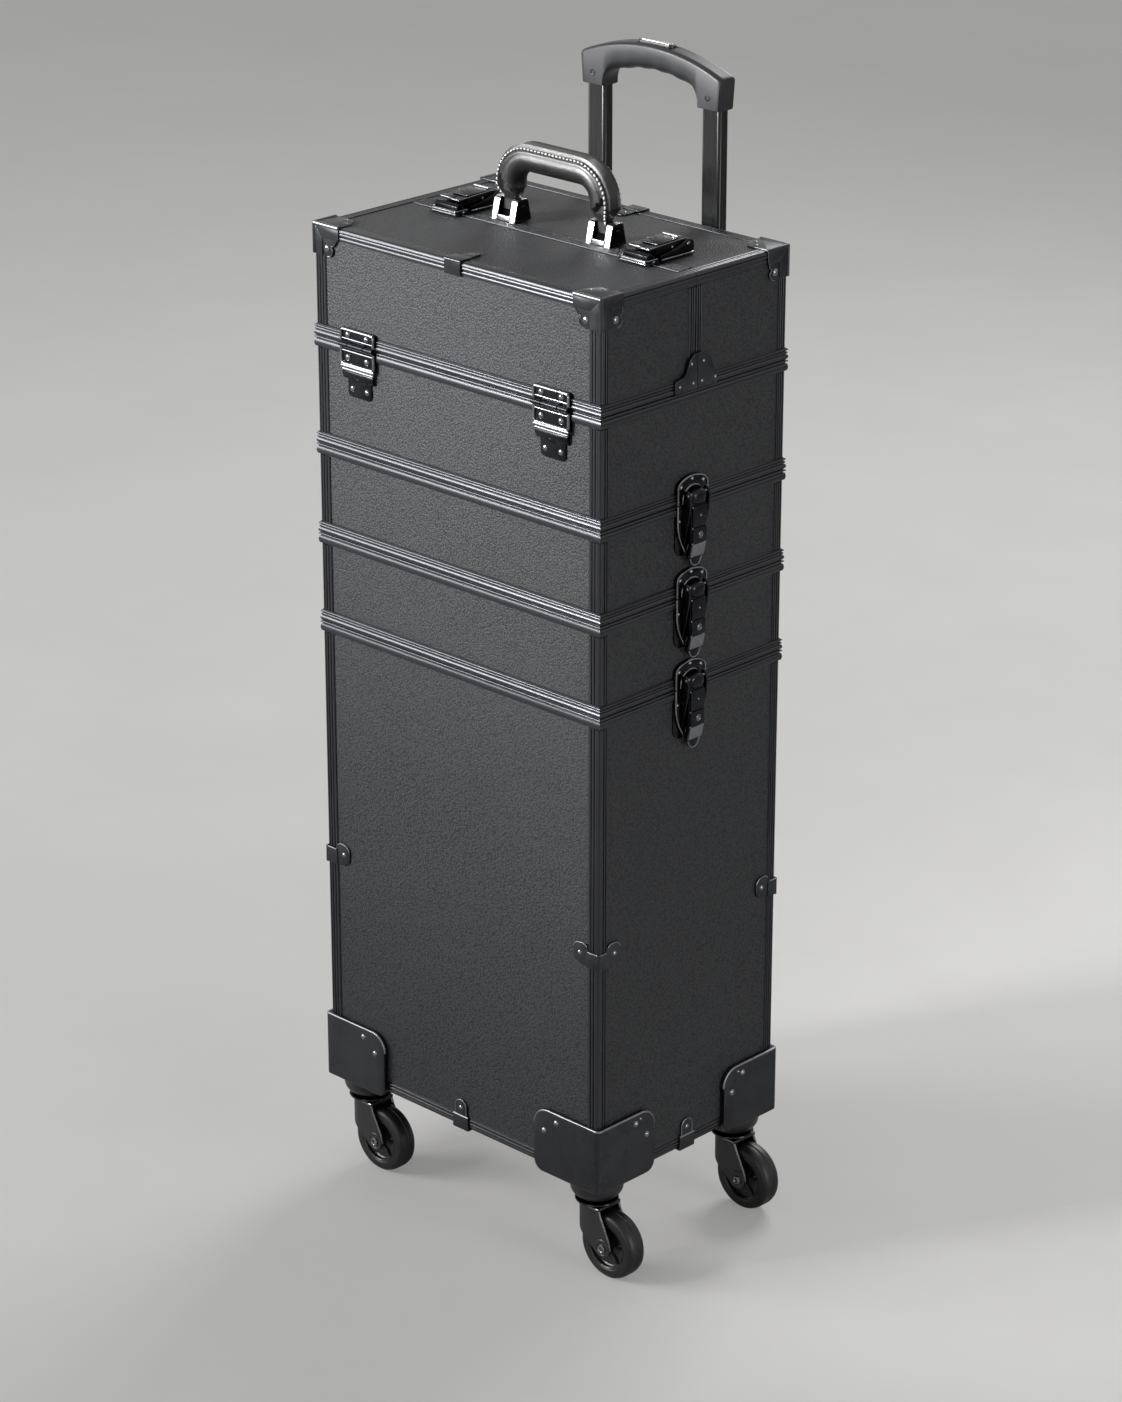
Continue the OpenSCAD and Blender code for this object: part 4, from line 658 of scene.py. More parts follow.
def post_section():
    """Section of a corner post as distances in from the front corner, along X and Y."""
    front = flutes([(3.3, 5.8, -0.4, 0.35), (6.7, 9.3, -0.4, 0.35), (10.1, 13.1, -0.4, 0.35)], -1.0)
    side = flutes([(3.3, 5.4, -0.4, 0.35), (6.2, 8.2, -0.4, 0.35), (8.8, 10.4, -0.4, 0.3)], -1.0)
    corner = arc(3, 3, 3, 270, 180, 8)
    return [(14, -INNER), (14, -LIP), (13.6, 0.9), *[(t, -h) for t, h in front[::-1]], *corner,
            *[(-h, t) for t, h in side], (0.9, 10.7), (-LIP, 11), (-INNER, 11), (-INNER, -INNER)]


def ring_of_bars(maker, section, z, flip=1, half=0, finish=0):
    """Mitred bars round the case, or round its front (-1) or rear (1) half."""
    corners = [(1, -1), (1, 1), (-1, 1), (-1, -1)]
    if half:
        corners = [(-1, 0), (-1, half), (1, half), (1, 0)]
    rings = [[(a * (HALF_W + o), b * (HALF_D + o) if b else half * SPLIT_GAP, z + flip * h)
              for o, h in section] for a, b in corners]
    maker.loft(rings, finish=finish, looped=not half)


def post_at(maker, a, b, low, high, finish=1):
    """Corner post on side a of X and b of Y."""
    outline = [(a * (HALF_W - u), b * (HALF_D - v)) for u, v in post_section()]
    maker.slab(outline, low + 0.06, high - 0.06, finish=finish, soft=0)


def section_frame(name, low, high, above, below):
    """Frame of one section: a rim at each seam and four posts between."""
    maker = Maker()
    if above:
        ring_of_bars(maker, rim_section(False), low)
        foot = low + RIM
    else:
        ring_of_bars(maker, edge_section(FOOT), low, -1)
        foot = low + FOOT
    if below:
        ring_of_bars(maker, rim_section(True), high, -1)
    for a in (-1, 1):
        for b in (-1, 1):
            post_at(maker, a, b, foot, high - RIM)
    maker.piece(f"{name}_extrusions", ("across", "upright"), name, replaces=f"{name}_frame",
                slot="extrusion")


def lid_frame(name, half):
    """Frame of a lid: rim, top edge, posts and the bars along the split."""
    maker = Maker()
    ring_of_bars(maker, rim_section(False), SEAM_LID, half=half)
    ring_of_bars(maker, edge_section(EDGE), TOP_Z, half=half)
    for a in (-1, 1):
        post_at(maker, a, half, SEAM_LID + RIM, TOP_Z - EDGE)
    bands = [(0.3, 2.3, -0.4, 0.35), (3.2, 5.0, -0.4, 0.35), (5.8, 8.0, -0.4, 0.35)]
    split = [(0, INNER), (0, -0.5), *flutes(bands, -0.9), (SPLIT_W, LIP), (SPLIT_W, INNER)]
    long = HALF_W - EDGE - 0.1
    maker.loft([[(x, half * (SPLIT_GAP + t), TOP_Z + h) for t, h in split] for x in (-long, long)])
    for a in (-1, 1):
        maker.loft([[(a * (HALF_W + h), half * (SPLIT_GAP + t), z) for t, h in split]
                    for z in (SEAM_LID + RIM + 0.1, TOP_Z - EDGE - 0.1)], finish=1)
    maker.piece(f"{name}_extrusions", ("across", "upright"), name, replaces=f"{name}_frame",
                slot="extrusion")


class CASE_OT_extrusions(bpy.types.Operator):
    """Frame each section in black anodised extrusions"""
    bl_idname = "case.extrusions"
    bl_label = "Extrusions"

    def execute(self, context):
        section_frame("bin", BIN_Z, SEAM_LOW, False, True)
        section_frame("lower_tray", SEAM_LOW, SEAM_MID, True, True)
        section_frame("upper_tray", SEAM_MID, SEAM_HIGH, True, True)
        section_frame("top_case", SEAM_HIGH, SEAM_LID, True, True)
        lid_frame("front_lid", -1)
        lid_frame("rear_lid", 1)
        return {"FINISHED"}


# Lid hinges: X across, Y up from the seam, Z out from the post face. Middle of a hinge from
# the middle of the case, half its width, and how far out its pin stands
HINGE_X = 116
HINGE_HALF = 21
HINGE_PIN = 3.8


def knuckle(maker, start, end, base):
    """Rolled barrel of a hinge between two places along its pin."""
    long = end - start
    profile = [(0, 0), (1.9, 0), (2.25, 0.35), (2.25, long - 0.35), (1.9, long), (0, long)]
    maker.turn(profile, base @ at(start, 0, HINGE_PIN) @ SIDEWAYS, steps=24)


def bead(maker, points, height, radius, base, bend=2.5):
    """Rolled edge that follows the corners of a plate in round bends, pale as a painted highlight.
    """
    last = len(points) - 1
    flat = rounded([(x, y, bend if 0 < k < last else 0) for k, (x, y) in enumerate(points)], 4)
    maker.rim(flat, height, radius, base, steps=10)


def fixed_leaf(maker, base):
    """Lower leaf of a hinge: bordered plate, two rolls, a step and a riveted tab."""
    half = HINGE_HALF
    maker.slab(box_outline(-half, -19.3, half, -2.9, 0.6), 1.4, 2.5, base, soft=0.3)
    maker.slab(box_outline(-half, -19.3, half, -11.2, 0.6), -1.2, 2.4, base, soft=0.3)
    # painted highlight: the bordering bead, the crease line and the two rolls are in the pale rivet
    # colour
    bead(maker, [(1 - half, -2.9), (1 - half, -17.6), (half - 1, -17.6), (half - 1, -2.9)],
         2.5, 1.3, base)
    maker.rim([(1.2 - half, -5.6), (half - 1.2, -5.6)], 2.4, 0.55, base)
    for y, out, r, long in ((-19.6, 2.0, 1.55, half - 0.8), (-22.6, 1.6, 1.35, half - 2)):
        maker.rim([(-long, y), (0.4 - long, y), (long - 0.4, y), (long, y)], out,
                  [r * 0.55, r, r, r * 0.55], base, steps=16)
    step = [(-23.2, -1.2), (-23.2, 2.3), (-24.6, 2.9), (-26.6, 2.95), (-28.6, 2.4), (-30.2, 1.4),
            (-31.4, 0.2), (-31.9, -1.2)]
    maker.slab(step, 2.4 - half, half - 2.4, base @ ACROSS, soft=0.35)
    maker.slab([(-14.5, -28, 0), (-14.5, -46.9, 4.5), (14.5, -46.9, 4.5), (14.5, -28, 0)],
               -1.2, 0.3, base)
    for side in (-1, 1):
        maker.rivet(3.1, 1.7, base @ at(side * 11.5, -11.2, 2.5))
        maker.rivet(2.8, 1.4, base @ at(side * 9, -39.5, 0.3))
        knuckle(maker, *sorted((side * 10, side * half)), base)
    maker.pin(1.2, half - 0.1, base @ at(0, 0, HINGE_PIN) @ SIDEWAYS, 1)


def moving_leaf(maker, base):
    """Upper leaf of a hinge: bordered plate and the middle knuckle."""
    half = HINGE_HALF
    for low, bend, inner, outer in ((2.9, 3.5, 1.4, 2.5), (11.2, 3, -1.2, 2.4)):
        maker.slab([(-half, low, 0.6), (half, low, 0.6), (half, 14.4, bend), (-half, 14.4, bend)],
                   inner, outer, base, soft=0.3)
    # painted highlight: the bead and the crease line are in the pale rivet colour
    bead(maker, [(1 - half, 2.9), (1 - half, 13.4), (half - 1, 13.4), (half - 1, 2.9)],
         2.5, 1.3, base, bend=3)
    maker.rim([(1.2 - half, 5.2), (half - 1.2, 5.2)], 2.4, 0.55, base)
    for side in (-1, 1):
        maker.rivet(3.1, 1.7, base @ at(side * 11.5, 9.0, 2.5))
    maker.slab(box_outline(-9.5, 1.2, 9.5, 4, 0.3), 1.5, 2.8, base, soft=0.2)
    knuckle(maker, -9.4, 9.4, base)


class CASE_OT_hinges(bpy.types.Operator):
    """Roll the lid hinges from plated sheet"""
    bl_idname = "case.hinges"
    bl_label = "Lid hinges"

    def execute(self, context):
        plated = ("nickel", "rivet")
        fixed = Maker()
        for face in (on_front, on_rear):
            for side in (-1, 1):
                fixed_leaf(fixed, face(side * HINGE_X, SEAM_LID))
        fixed.piece("hinge_lower_leaves", plated, "top_case", replaces="top_case_hinge_leaves",
                    slot="hardware")
        for face, lid in ((on_front, "front_lid"), (on_rear, "rear_lid")):
            leaf = Maker()
            for side in (-1, 1):
                moving_leaf(leaf, face(side * HINGE_X, SEAM_LID))
            leaf.piece(f"{lid}_hinge_upper_leaves", plated, lid,
                       replaces=f"{lid}_hinge_leaves", slot="hardware")
        return {"FINISHED"}


# Side latches: X toward the back, Y up from the seam, Z out from the post face. Middle of a
# latch behind the middle of the case, half its width, and its pivot
LATCH_Y = -4
LATCH_HALF = 19
PIVOT_OUT = 7.9
PIVOT_RISE = 9


def catch_plate(maker, base):
    """Arched plate above the seam, with a rolled edge and three rivets."""
    half = LATCH_HALF
    arch = arc(0, 12, half, 0, 180, 12, 12.4)
    # the shoulders of the arch are fuller than an ellipse
    arch = [(x * (1 + 0.1 * math.sin(math.radians(30 * k)) ** 2) if abs(x) < half * 0.98 else x, y)
            for k, (x, y) in enumerate(arch)]
    maker.slab([(half, 0.5), *arch, (-half, 0.5)], 1.4, 2.4, base, soft=0.25)
    maker.slab([(half, 11.2), *arch, (-half, 11.2)], -1.2, 2.3, base, soft=0.25)
    inset = half * 0.955
    # painted highlight: the rolled edge of the arch is in the pale rivet colour
    maker.rim([(inset, 0.6), *[(x * 0.955, 12 + (y - 12) * 0.93) for x, y in arch],
               (-inset, 0.6)], 2.3, 0.85, base)
    for x, y in ((-14.6, 15.6), (-1, 20.6), (12.6, 16.8)):
        maker.rivet(1.9, 1.1, base @ at(x, y, 2.4))
    # low rib round the lever's head, in the pale rivet colour as a painted highlight
    rib = [(12.4, 0.7), *arc(0, 3, 12.4, 0, 180, 12), (-12.4, 0.7)]
    maker.rim(rib, 2.5, 0.8, base)


def latch_base(maker, base):
    """Shield plate below the seam on a rounded foot, with the ears of the pivot."""
    half = LATCH_HALF
    maker.slab([(half, -11.2, 0.5), (half, -46.6, 9), (-half, -46.6, 9), (-half, -11.2, 0.5)],
               -1.2, 0.2, base, soft=0.3)
    waist = [(-half, -0.5), (-half, -19), (-17.6, -27), (-14.6, -34.5), (-11.2, -40.5),
             (-8.4, -45.4), (8.4, -45.4), (11.2, -40.5), (14.6, -34.5), (17.6, -27), (half, -19),
             (half, -0.5)]
    maker.slab(waist, 1.4, 2.4, base, soft=0.25)
    below = [(x, y) for x, y in waist if y < -1]
    maker.slab([(-half, -11.2), *below, (half, -11.2)], 0, 2.3, base, soft=0.25)
    for side in (-1, 1):
        # painted highlight: the shield's rolled edge is in the pale rivet colour
        rim = [(half - 0.85, -0.6), *[(-x - 0.85, y) for x, y in waist[1:6]]]
        maker.rim([(side * x, y) for x, y in rim], 2.3, 0.85, base)
        maker.rivet(1.6, 0.9, base @ at(side * 16, -14, 2.4))
        # ear: rises to the pivot and tapers away down the shield
        ear = [(-36, 2.2, 0), (-0.8, 2.2, 0), (-0.8, 3.7, 0.5), (13.0, 3.7, 2.5),
               (12.6, 8.8, 4.5), (6, 11.3, 4), (-8, 10, 3), (-36, 4.6, 2)]
        maker.slab(ear, side * 11.7 - 1.05, side * 11.7 + 1.05, base @ ACROSS, soft=0.45)
        maker.rivet(1.9, 0.6, base @ at(side * 12.6, PIVOT_RISE, PIVOT_OUT) @ turned(
            90 * side, "Y"))
    maker.pin(1.5, 12.4, base @ at(0, PIVOT_RISE, PIVOT_OUT) @ SIDEWAYS, 1)


def side_lever(maker, base):
    """Lever: domed head on the pivot, two flat panels, a sloped one and a finger tab."""
    wide = 8.6
    # spine that the panels stand on
    spine = [(10.5, 4.0, 2), (10.5, 9.5, 3), (-36, 9.6, 1), (-43, 7.4, 1), (-50, 5.2, 1),
             (-50, 4.2, 0.3), (-38, 3.9, 0)]
    maker.slab(spine, -9.3, 9.3, base @ ACROSS, soft=0.6)
    # squarish dome over the pivot, closed by a small flat
    rings = []
    for k in range(9):
        a = math.radians(11.25 * k)
        grow = math.cos(a) ** 0.55 if k < 8 else 0.22
        out = 7.2 + 4.7 * math.sin(a)
        ring = []
        for i in range(32):
            t = 2 * math.pi * i / 32
            x = 9.7 * grow * math.copysign(abs(math.cos(t)) ** 0.75, math.cos(t))
            y = (7.2 if math.sin(t) < 0 else 6.6) * grow * math.copysign(
                abs(math.sin(t)) ** 0.8, math.sin(t))
            ring.append((x, 6.4 + y, out))
        rings.append(ring)
    maker.loft(rings, base)
    for low, high, out in ((-19.6, -1.4, 11.3), (-33.6, -20.6, 11.3)):
        maker.slab(box_outline(-wide, low, wide, high, 0.8), 8.5, out, base, soft=0.55, steps=3)
    slope = base @ at(0, -34.4, 8.4) @ turned(13, "X")
    maker.slab(box_outline(0.3 - wide, -12.4, wide - 0.3, 0, 0.8), 0, 2.7, slope, 2, soft=0.5,
               steps=3)
    tab = [(-7.4, -44), *arc(0, -48.4, 7.4, 180, 360, 12), (7.4, -44)]
    maker.slab(tab, 4.4, 6.6, base, soft=0.6, steps=3)
    # painted highlight: the tab's outline is in the pale rivet colour
    maker.rim([(x * 0.93, -48.4 + (y + 48.4) * 0.93) for x, y in tab[1:-1]], 6.4, 0.7, base)
    maker.rivet(1.0, 0.5, base @ at(0.6, -10, 11.3))
    for x, y in ((-wide - 0.2, -1.6), (-wide - 0.2, -20.2), (-wide - 0.2, -33.8), (wide, -17.4)):
        maker.rivet(0.8, 0.5, base @ at(x, y, 10.7))
    # lock: ring and plug with a keyway
    lock = base @ at(0.4, -27.2, 11.3)
    maker.turn([(2.9, 0), (2.9, 0.35), (2.5, 0.6), (2.1, 0.35), (2.1, 0)], lock, 1, steps=24)
    maker.turn([(1.7, -0.1), (1.7, 0.3), (1.4, 0.45), (0, 0.45)], lock, 1, steps=20)
    maker.slab(box_outline(-0.3, -1.1, 0.3, 1.1, 0.1), 0.4, 0.5, lock, 2, soft=0)


# Each row of side latches: its name, the sections below and above its seam, and the seam
LATCH_ROWS = (("lower", "bin", "lower_tray", SEAM_LOW),
              ("middle", "lower_tray", "upper_tray", SEAM_MID),
              ("upper", "upper_tray", "top_case", SEAM_HIGH))


class CASE_OT_latches(bpy.types.Operator):
    """Build the side latches: catch plates, bases with ears, and levers"""
    bl_idname = "case.latches"
    bl_label = "Side latches"

    def execute(self, context):
        plated = ("nickel", "rivet", "panel")
        plates = {"bin": Maker(), "lower_tray": Maker(), "upper_tray": Maker(), "top_case": Maker()}
        for level, under, over, seam in LATCH_ROWS:
            for side, flip in (("right", Matrix()), ("left", FLIP_X)):
                base = flip @ on_right(LATCH_Y, seam)
                latch_base(plates[under], base)
                catch_plate(plates[over], base)
                lever = Maker()
                side_lever(lever, base)
                lever.piece(f"{level}_latch_lever_{side}", plated, f"{level}_latch_{side}",
                            replaces=f"{level}_lever_{side}", slot="latch_metal")
        for section, maker in plates.items():
            node = "bin_latch_bases" if section == "bin" else f"{section}_latch_plates"
            maker.piece(f"{section}_latch_fittings", plated, section, replaces=node,
                        slot="latch_metal")
        return {"FINISHED"}


# Lid corners: X inward from the vertex along the front, Y inward along the side, Z down.
# Length of the plates along the front, along the side and down
CAP_W = 31
CAP_D = 26
CAP_H = 27
# Width of the raised bands along the edges and their height where they meet the ears
CAP_BAND = 11.5
BAND_RISE = 1.45
# Half the width of the clip in the middle of a lid's edge
CLIP_HALF = 9.5
# Plates at the foot of the split: width, height, and outlines with the split at X = 0
FAN_W = 27
FAN_H = 31
FAN_FRONT = [(0, 0.3, 0), (0, FAN_H, 0), (-4, FAN_H, 2), (-9, FAN_H - 4, 2),
             (-11, FAN_H - 9, 2), (-13, 17, 2), (-16, 13.5, 2), (1 - FAN_W, 11.5, 2),
             (-FAN_W, 10.5, 1), (-FAN_W, 0.3, 0)]
FAN_REAR = [(0, 0.3, 0), (0, FAN_H, 0), (-5, FAN_H, 4), (-15, 25.5, 6), (-19.5, 14, 4),
            (-24, 10.5, 2), (-24, 0.3, 0)]


def corner_bands(maker, base, long):
    """Two raised bands of one plate that meet in a mitre; each slopes to the outer edge."""
    lying = [(0, 0, 0), (long, 0, 0.8), (long, CAP_BAND, 0.8), (CAP_BAND, CAP_BAND, 0)]
    standing = [(0, 0, 0), (CAP_BAND, CAP_BAND, 0), (CAP_BAND, CAP_H, 0.8), (0, CAP_H, 0.8)]
    for outline, crest, slope in ((lying, at(0, CAP_BAND, BAND_RISE), turned(4.5, "X")),
                                  (standing, at(CAP_BAND, 0, BAND_RISE), turned(-4, "Y"))):
        maker.slab(rounded(outline), -1.1, 0, base @ crest @ slope @ crest.inverted() @
                   at(0, 0, BAND_RISE), soft=0.35)


def corner_ear(maker, base, long):
    """Thin ear below the bands with a large rivet in its round end."""
    r, x, start = 6.3, 17.5, 10.6
    low = CAP_H - r
    ear = rounded([(start, start, 0), (long - 1.5, start, 0.5), (x + r, low - 2.6, 3)])
    ear += [*arc(x, low, r, 0, 90, 9), (start, CAP_H)]
    maker.slab(ear, -1.3, 0.75, base, soft=0.35)
    # painted highlight: the ear's outline is in the pale rivet colour
    maker.rim(ear[2:-1], 0.8, 0.45, base, steps=6)
    maker.rivet(3.4, 1.5, base @ at(x - 0.8, low - 0.6, 0.75))


def lid_corner(maker, vertex):
    """Pressed corner: bands along three edges, ears on front and side, rivets on top."""
    for form in (corner_bands, corner_ear):
        form(maker, vertex @ UPRIGHT, CAP_W)
        form(maker, vertex @ FLIP_X @ ACROSS, CAP_D)
    top = vertex @ FLIP_Z
    plate = [(0, 0, 0), (CAP_W, 0, 0.8), (CAP_W, 13, 3), (24, 25, 4), (14, CAP_D, 3),
             (0, CAP_D, 0.8)]
    maker.slab(plate, -1.3, 0.9, top)
    for x, y in ((25.4, 13.2), (17.6, 21)):
        maker.rivet(1.8, 0.65, top @ at(x, y, 0.9))
    # rolled edges and the round vertex; the edge along the front or rear face is a painted
    # highlight in the pale rivet colour, while the other two edges and the vertex stay plate
    r, near = 1.9, 0.3
    for finish, end in ((1, (CAP_W - 0.4, near, near)), (0, (near, CAP_D - 0.4, near)),
                        (0, (near, near, CAP_H - 0.4))):
        maker.pipe([(near, near, near), end], r, vertex, finish, steps=24)
    maker.turn(arc(0, 0, r, 90, -90, 12), vertex @ at(near, near, near), steps=20)


def fan_plate(maker, base, outline):
    """Stepped plate at the foot of the split, over the rim and the board."""
    flat = rounded(outline)
    maker.slab(flat, 0, 2.7, base, soft=0.45)
    maker.rim(flat[1:-5], 2.65, 0.4, base, 0, steps=6)
    for x, y in ((-5, 6), (-7, FAN_H - 8), (5.5 - FAN_W, 6)):
        maker.rivet(1.6, 0.8, base @ at(x, y, 2.7))


def edge_clip(maker, base):
    """Clip over the middle of a lid's front edge: apron, rolled edge and a riveted tongue."""
    w = CLIP_HALF
    maker.slab(box_outline(-w, -12.5, w, 0.4, 0.8), 0, 1.5, base @ SIDE_UP)
    maker.slab(box_outline(-w, 0, w, 12.5, 0.8), 0, 1.5, base)
    maker.slab(box_outline(-w * 0.62, 10, w * 0.62, 29, 4), -1.3, 0.6, base)
    maker.pipe([(-w + 0.2, 0.3, -0.3), (w - 0.2, 0.3, -0.3)], 1.85, base, steps=20)
    maker.rivet(2.2, 0.8, base @ at(0, 21, 0.6))
    for x in (-5.5, 5.5):
        maker.rivet(1.5, 0.4, base @ SIDE_UP @ at(x, -7.5, 1.1))


class CASE_OT_lid_corners(bpy.types.Operator):
    """Press the corners, split plates and edge clips of both lids"""
    bl_idname = "case.lid_corners"
    bl_label = "Lid corners"

    def execute(self, context):
        for name, way in (("front_lid", -1), ("rear_lid", 1)):
            made = Maker()
            for side in (-1, 1):
                vertex = at(side * HALF_W, way * HALF_D, TOP_Z)
                lid_corner(made, vertex @ mirrored(side, way) @ FLIP_Z)
                seam = mirrored(-side, way) @ on_right(-SPLIT_GAP, SEAM_LID)
                fan_plate(made, seam, FAN_FRONT if way < 0 else FAN_REAR)
            edge_clip(made, at(0, way * HALF_D, TOP_Z) @ mirrored(-1, way))
            made.piece(f"{name}_pressed_corners", ("plate", "rivet"), name,
                       replaces=f"{name}_corners", slot="hardware")
        return {"FINISHED"}


# Top latches: X across, Y back from the split, Z up from the lids. Middle of a latch from the
# middle of the case, and the pin of its lever
TOP_LATCH_X = 112
LEVER_PIN_Y = 37
LEVER_PIN_Z = 8.4


def top_catch(maker, base):
    """Catch on the front lid: two-layer plate with a round nose, and the sloped block."""
    maker.slab([(-18, -1, 0.5), (-18, -16.9, 5), (18, -16.9, 2.5), (18, -1, 0.5)],
               0, 1.3, base)
    maker.slab([(-16, -1, 0.5), (-16, -15.4, 4.5), (16.4, -15.4, 2), (16.4, -1, 0.5)],
               1.2, 3.0, base, soft=0.55, steps=3)
    bead(maker, [(-15, -2), (-15, -14.4), (15.4, -14.4), (15.4, -2)], 3, 0.6, base)
    # painted highlight: two thin strips on the front edges of the catch, in the pale rivet colour
    maker.slab(box_outline(-13.5, -15.75, 14.6, -15.1, 0.2), 1.5, 2.9, base, 1, soft=0.2)
    maker.slab(box_outline(-13.2, -16.95, 15.6, -16.4, 0.2), 0.2, 1.2, base, 1, soft=0.2)
    block = [(-12.4, 2.6, 0), (-12.4, 6.4, 0.8), (-10.4, 8.7, 0.8), (-8.1, 8.7, 0.6),
             (-1.3, 2.6, 0)]
    maker.slab(block, -13.6, 13.6, base @ ACROSS, soft=0.5)
    for side in (-1, 1):
        maker.rivet(1.7, 0.9, base @ at(side * 15.6, -7.5, 1.5))


def top_latch_base(maker, base):
    """Base on the rear lid: floor plate with rivets, and two cheeks with the lever's pin."""
    maker.slab([(-18, 1, 0.5), (18, 1, 0.5), (18, 44.6, 5.5), (-18, 44.6, 5.5)],
               0, 1.4, base)
    bead(maker, [(-17, 1.6), (-17, 43.6), (17, 43.6), (17, 1.6)], 1.4, 0.6, base, bend=5)
    for side in (-1, 1):
        cheek = [(3.2, 1.2, 0), (43.4, 1.2, 0), (43.6, 9.6, 3), (38, 13, 4), (31, 10.4, 3),
                 (17, 6.2, 3), (3.2, 4.6, 1)]
        maker.slab(cheek, side * 14.1 - 1.1, side * 14.1 + 1.1, base @ ACROSS)
        maker.rivet(2.1, 0.5, base @ at(side * 15.1, LEVER_PIN_Y, LEVER_PIN_Z) @ turned(
            90 * side, "Y"))
        for y in (7, 25):
            maker.rivet(1.5, 0.7, base @ at(side * 16.4, y, 1.4))
    maker.pin(1.5, 15, base @ at(0, LEVER_PIN_Y, LEVER_PIN_Z) @ SIDEWAYS, 1)


def top_lever(maker, base):
    """Lever of a top latch: nose over the catch, raised panel, rolled heel on the pin."""
    body = [(0.8, 2.7, 0.4), (33, 3.6, 1), (36.8, 5.2, 2), (36.8, 12.4, 3), (30, 13.2, 2),
            (9, 12.5, 1), (2, 11.9, 1), (-8.3, 11.7, 0.6), (-8.4, 10.4, 0.4),
            (-1.6, 9.6, 1), (0.8, 7.8, 1)]
    maker.slab(body, -12.4, 12.4, base @ ACROSS, soft=0.6, steps=3)
    # raised panel, stepped along its left side
    panel = [(-7.6, 10.4, 0.5), (-7.6, 3.2, 0.8), (11.2, 3.2, 1), (11.2, 29.0, 1),
             (-11.2, 29.0, 1), (-11.2, 20.6, 0.5), (-9.4, 19.2, 0.5), (-9.4, 11.6, 0.5)]
    maker.slab(panel, 12.2, 13.5, base @ turned(0.8, "X"), soft=0.5)
    maker.slab([(-11.4, -7.4, 1), (2.2, -7.4, 0.6), (2.2, -1.2, 0.4), (-11.4, -1.2, 0.4)],
               11.2, 12.6, base, soft=0.45)
    bead(maker, [(-11.6, -0.4), (-11.6, -7.6), (11.6, -7.6), (11.6, -0.4)], 12, 0.5, base, bend=1)
    # painted highlight: strips on the front of the nose in the pale rivet colour
    maker.slab(box_outline(-10.8, -8.38, 1.6, -7.3, 0.3), 10.6, 12.5, base, 1, soft=0.3)
    maker.slab(box_outline(1.9, -8.38, 11.6, -7.6, 0.3), 10.5, 11.6, base, 1, soft=0.3)
    maker.slab(box_outline(-12.0, 15.2, -9.8, 19.2, 0.5), 12.0, 13.1, base, 1, soft=0.3)
    # painted highlight: a pale line along the lever's right edge
    maker.pipe([(12.3, -6.8, 11.6), (12.3, 8, 12.3), (12.3, 30, 13.0)], 0.4, base, 1, steps=8)
    heel = [(0, 12.2), (2, 12.2), (2.3, 11.7), (2.9, 11.7), (3.3, 12.4), (3.9, 12.4), (4.35, 11.9)]
    heel = [(x, -z) for x, z in heel] + heel[::-1]
    maker.turn(heel, base @ at(0, LEVER_PIN_Y, LEVER_PIN_Z) @ SIDEWAYS, steps=28)
    # painted highlight: a pale plate on the sloped rear of the lever
    maker.slab(box_outline(-9, -2.6, 9, 2.4, 1), 0, 1.3, base @ at(0, 32, 13.6) @ turned(-9, "X"),
               1)
    maker.rivet(1.3, 0.5, base @ at(12.4, 20, 8.2) @ turned(90, "Y"))


class CASE_OT_top_latches(bpy.types.Operator):
    """Build the two latches that join the lids"""
    bl_idname = "case.top_latches"
    bl_label = "Top latches"

    def execute(self, context):
        plated = ("nickel", "rivet")
        catches, bases = Maker(), Maker()
        for side, name in ((1, "right"), (-1, "left")):
            base = on_lids(side * TOP_LATCH_X, 0)
            top_catch(catches, base)
            top_latch_base(bases, base)
            lever = Maker()
            top_lever(lever, base)
            lever.piece(f"top_latch_lever_{name}", plated, f"top_latch_{name}",
                        replaces=f"top_lever_{name}", slot="latch_metal")
        catches.piece("top_latch_catches", plated, "front_lid", replaces="front_lid_catches",
                      slot="latch_metal")
        bases.piece("top_latch_floors", plated, "rear_lid", replaces="top_latch_bases",
                    slot="latch_metal")
        return {"FINISHED"}


# Carry handle: how far back it stands, its pivots, and its middle line, which rises from the
# legs through two bends to the grip
HANDLE_Y = 11.5
PIVOT_X = 56
PIVOT_UP = 12.5
LEG_X = 53.5
GRIP_UP = 57.5
BEND = 24
# Radius of the pad on the grip's inner side; half the width and thickness of the strap
GRIP_R = 11.5
STRAP_WIDE = 6.6
STRAP_THICK = 4.5
# The two seams of the pad, in degrees from the handle's outer side
SEAM_TURN = 43


def handle_path():
    """Middle line from the left foot to the right one as (x, height, angle of its outer side)."""
    foot, knee = 9.5, GRIP_UP - BEND
    half = [(-LEG_X, foot + k * (knee - foot) / 27, 180) for k in range(27)]
    for k, (x, z) in enumerate(arc(BEND - LEG_X, knee, BEND, 180, 90, 12)):
        half.append((x, z, 180 - 90 * k / 12))
    across = [((LEG_X - BEND) * (k / 4 - 1), GRIP_UP, 90) for k in range(1, 8)]
    return half + across + [(-x, z, 180 - a) for x, z, a in reversed(half)]


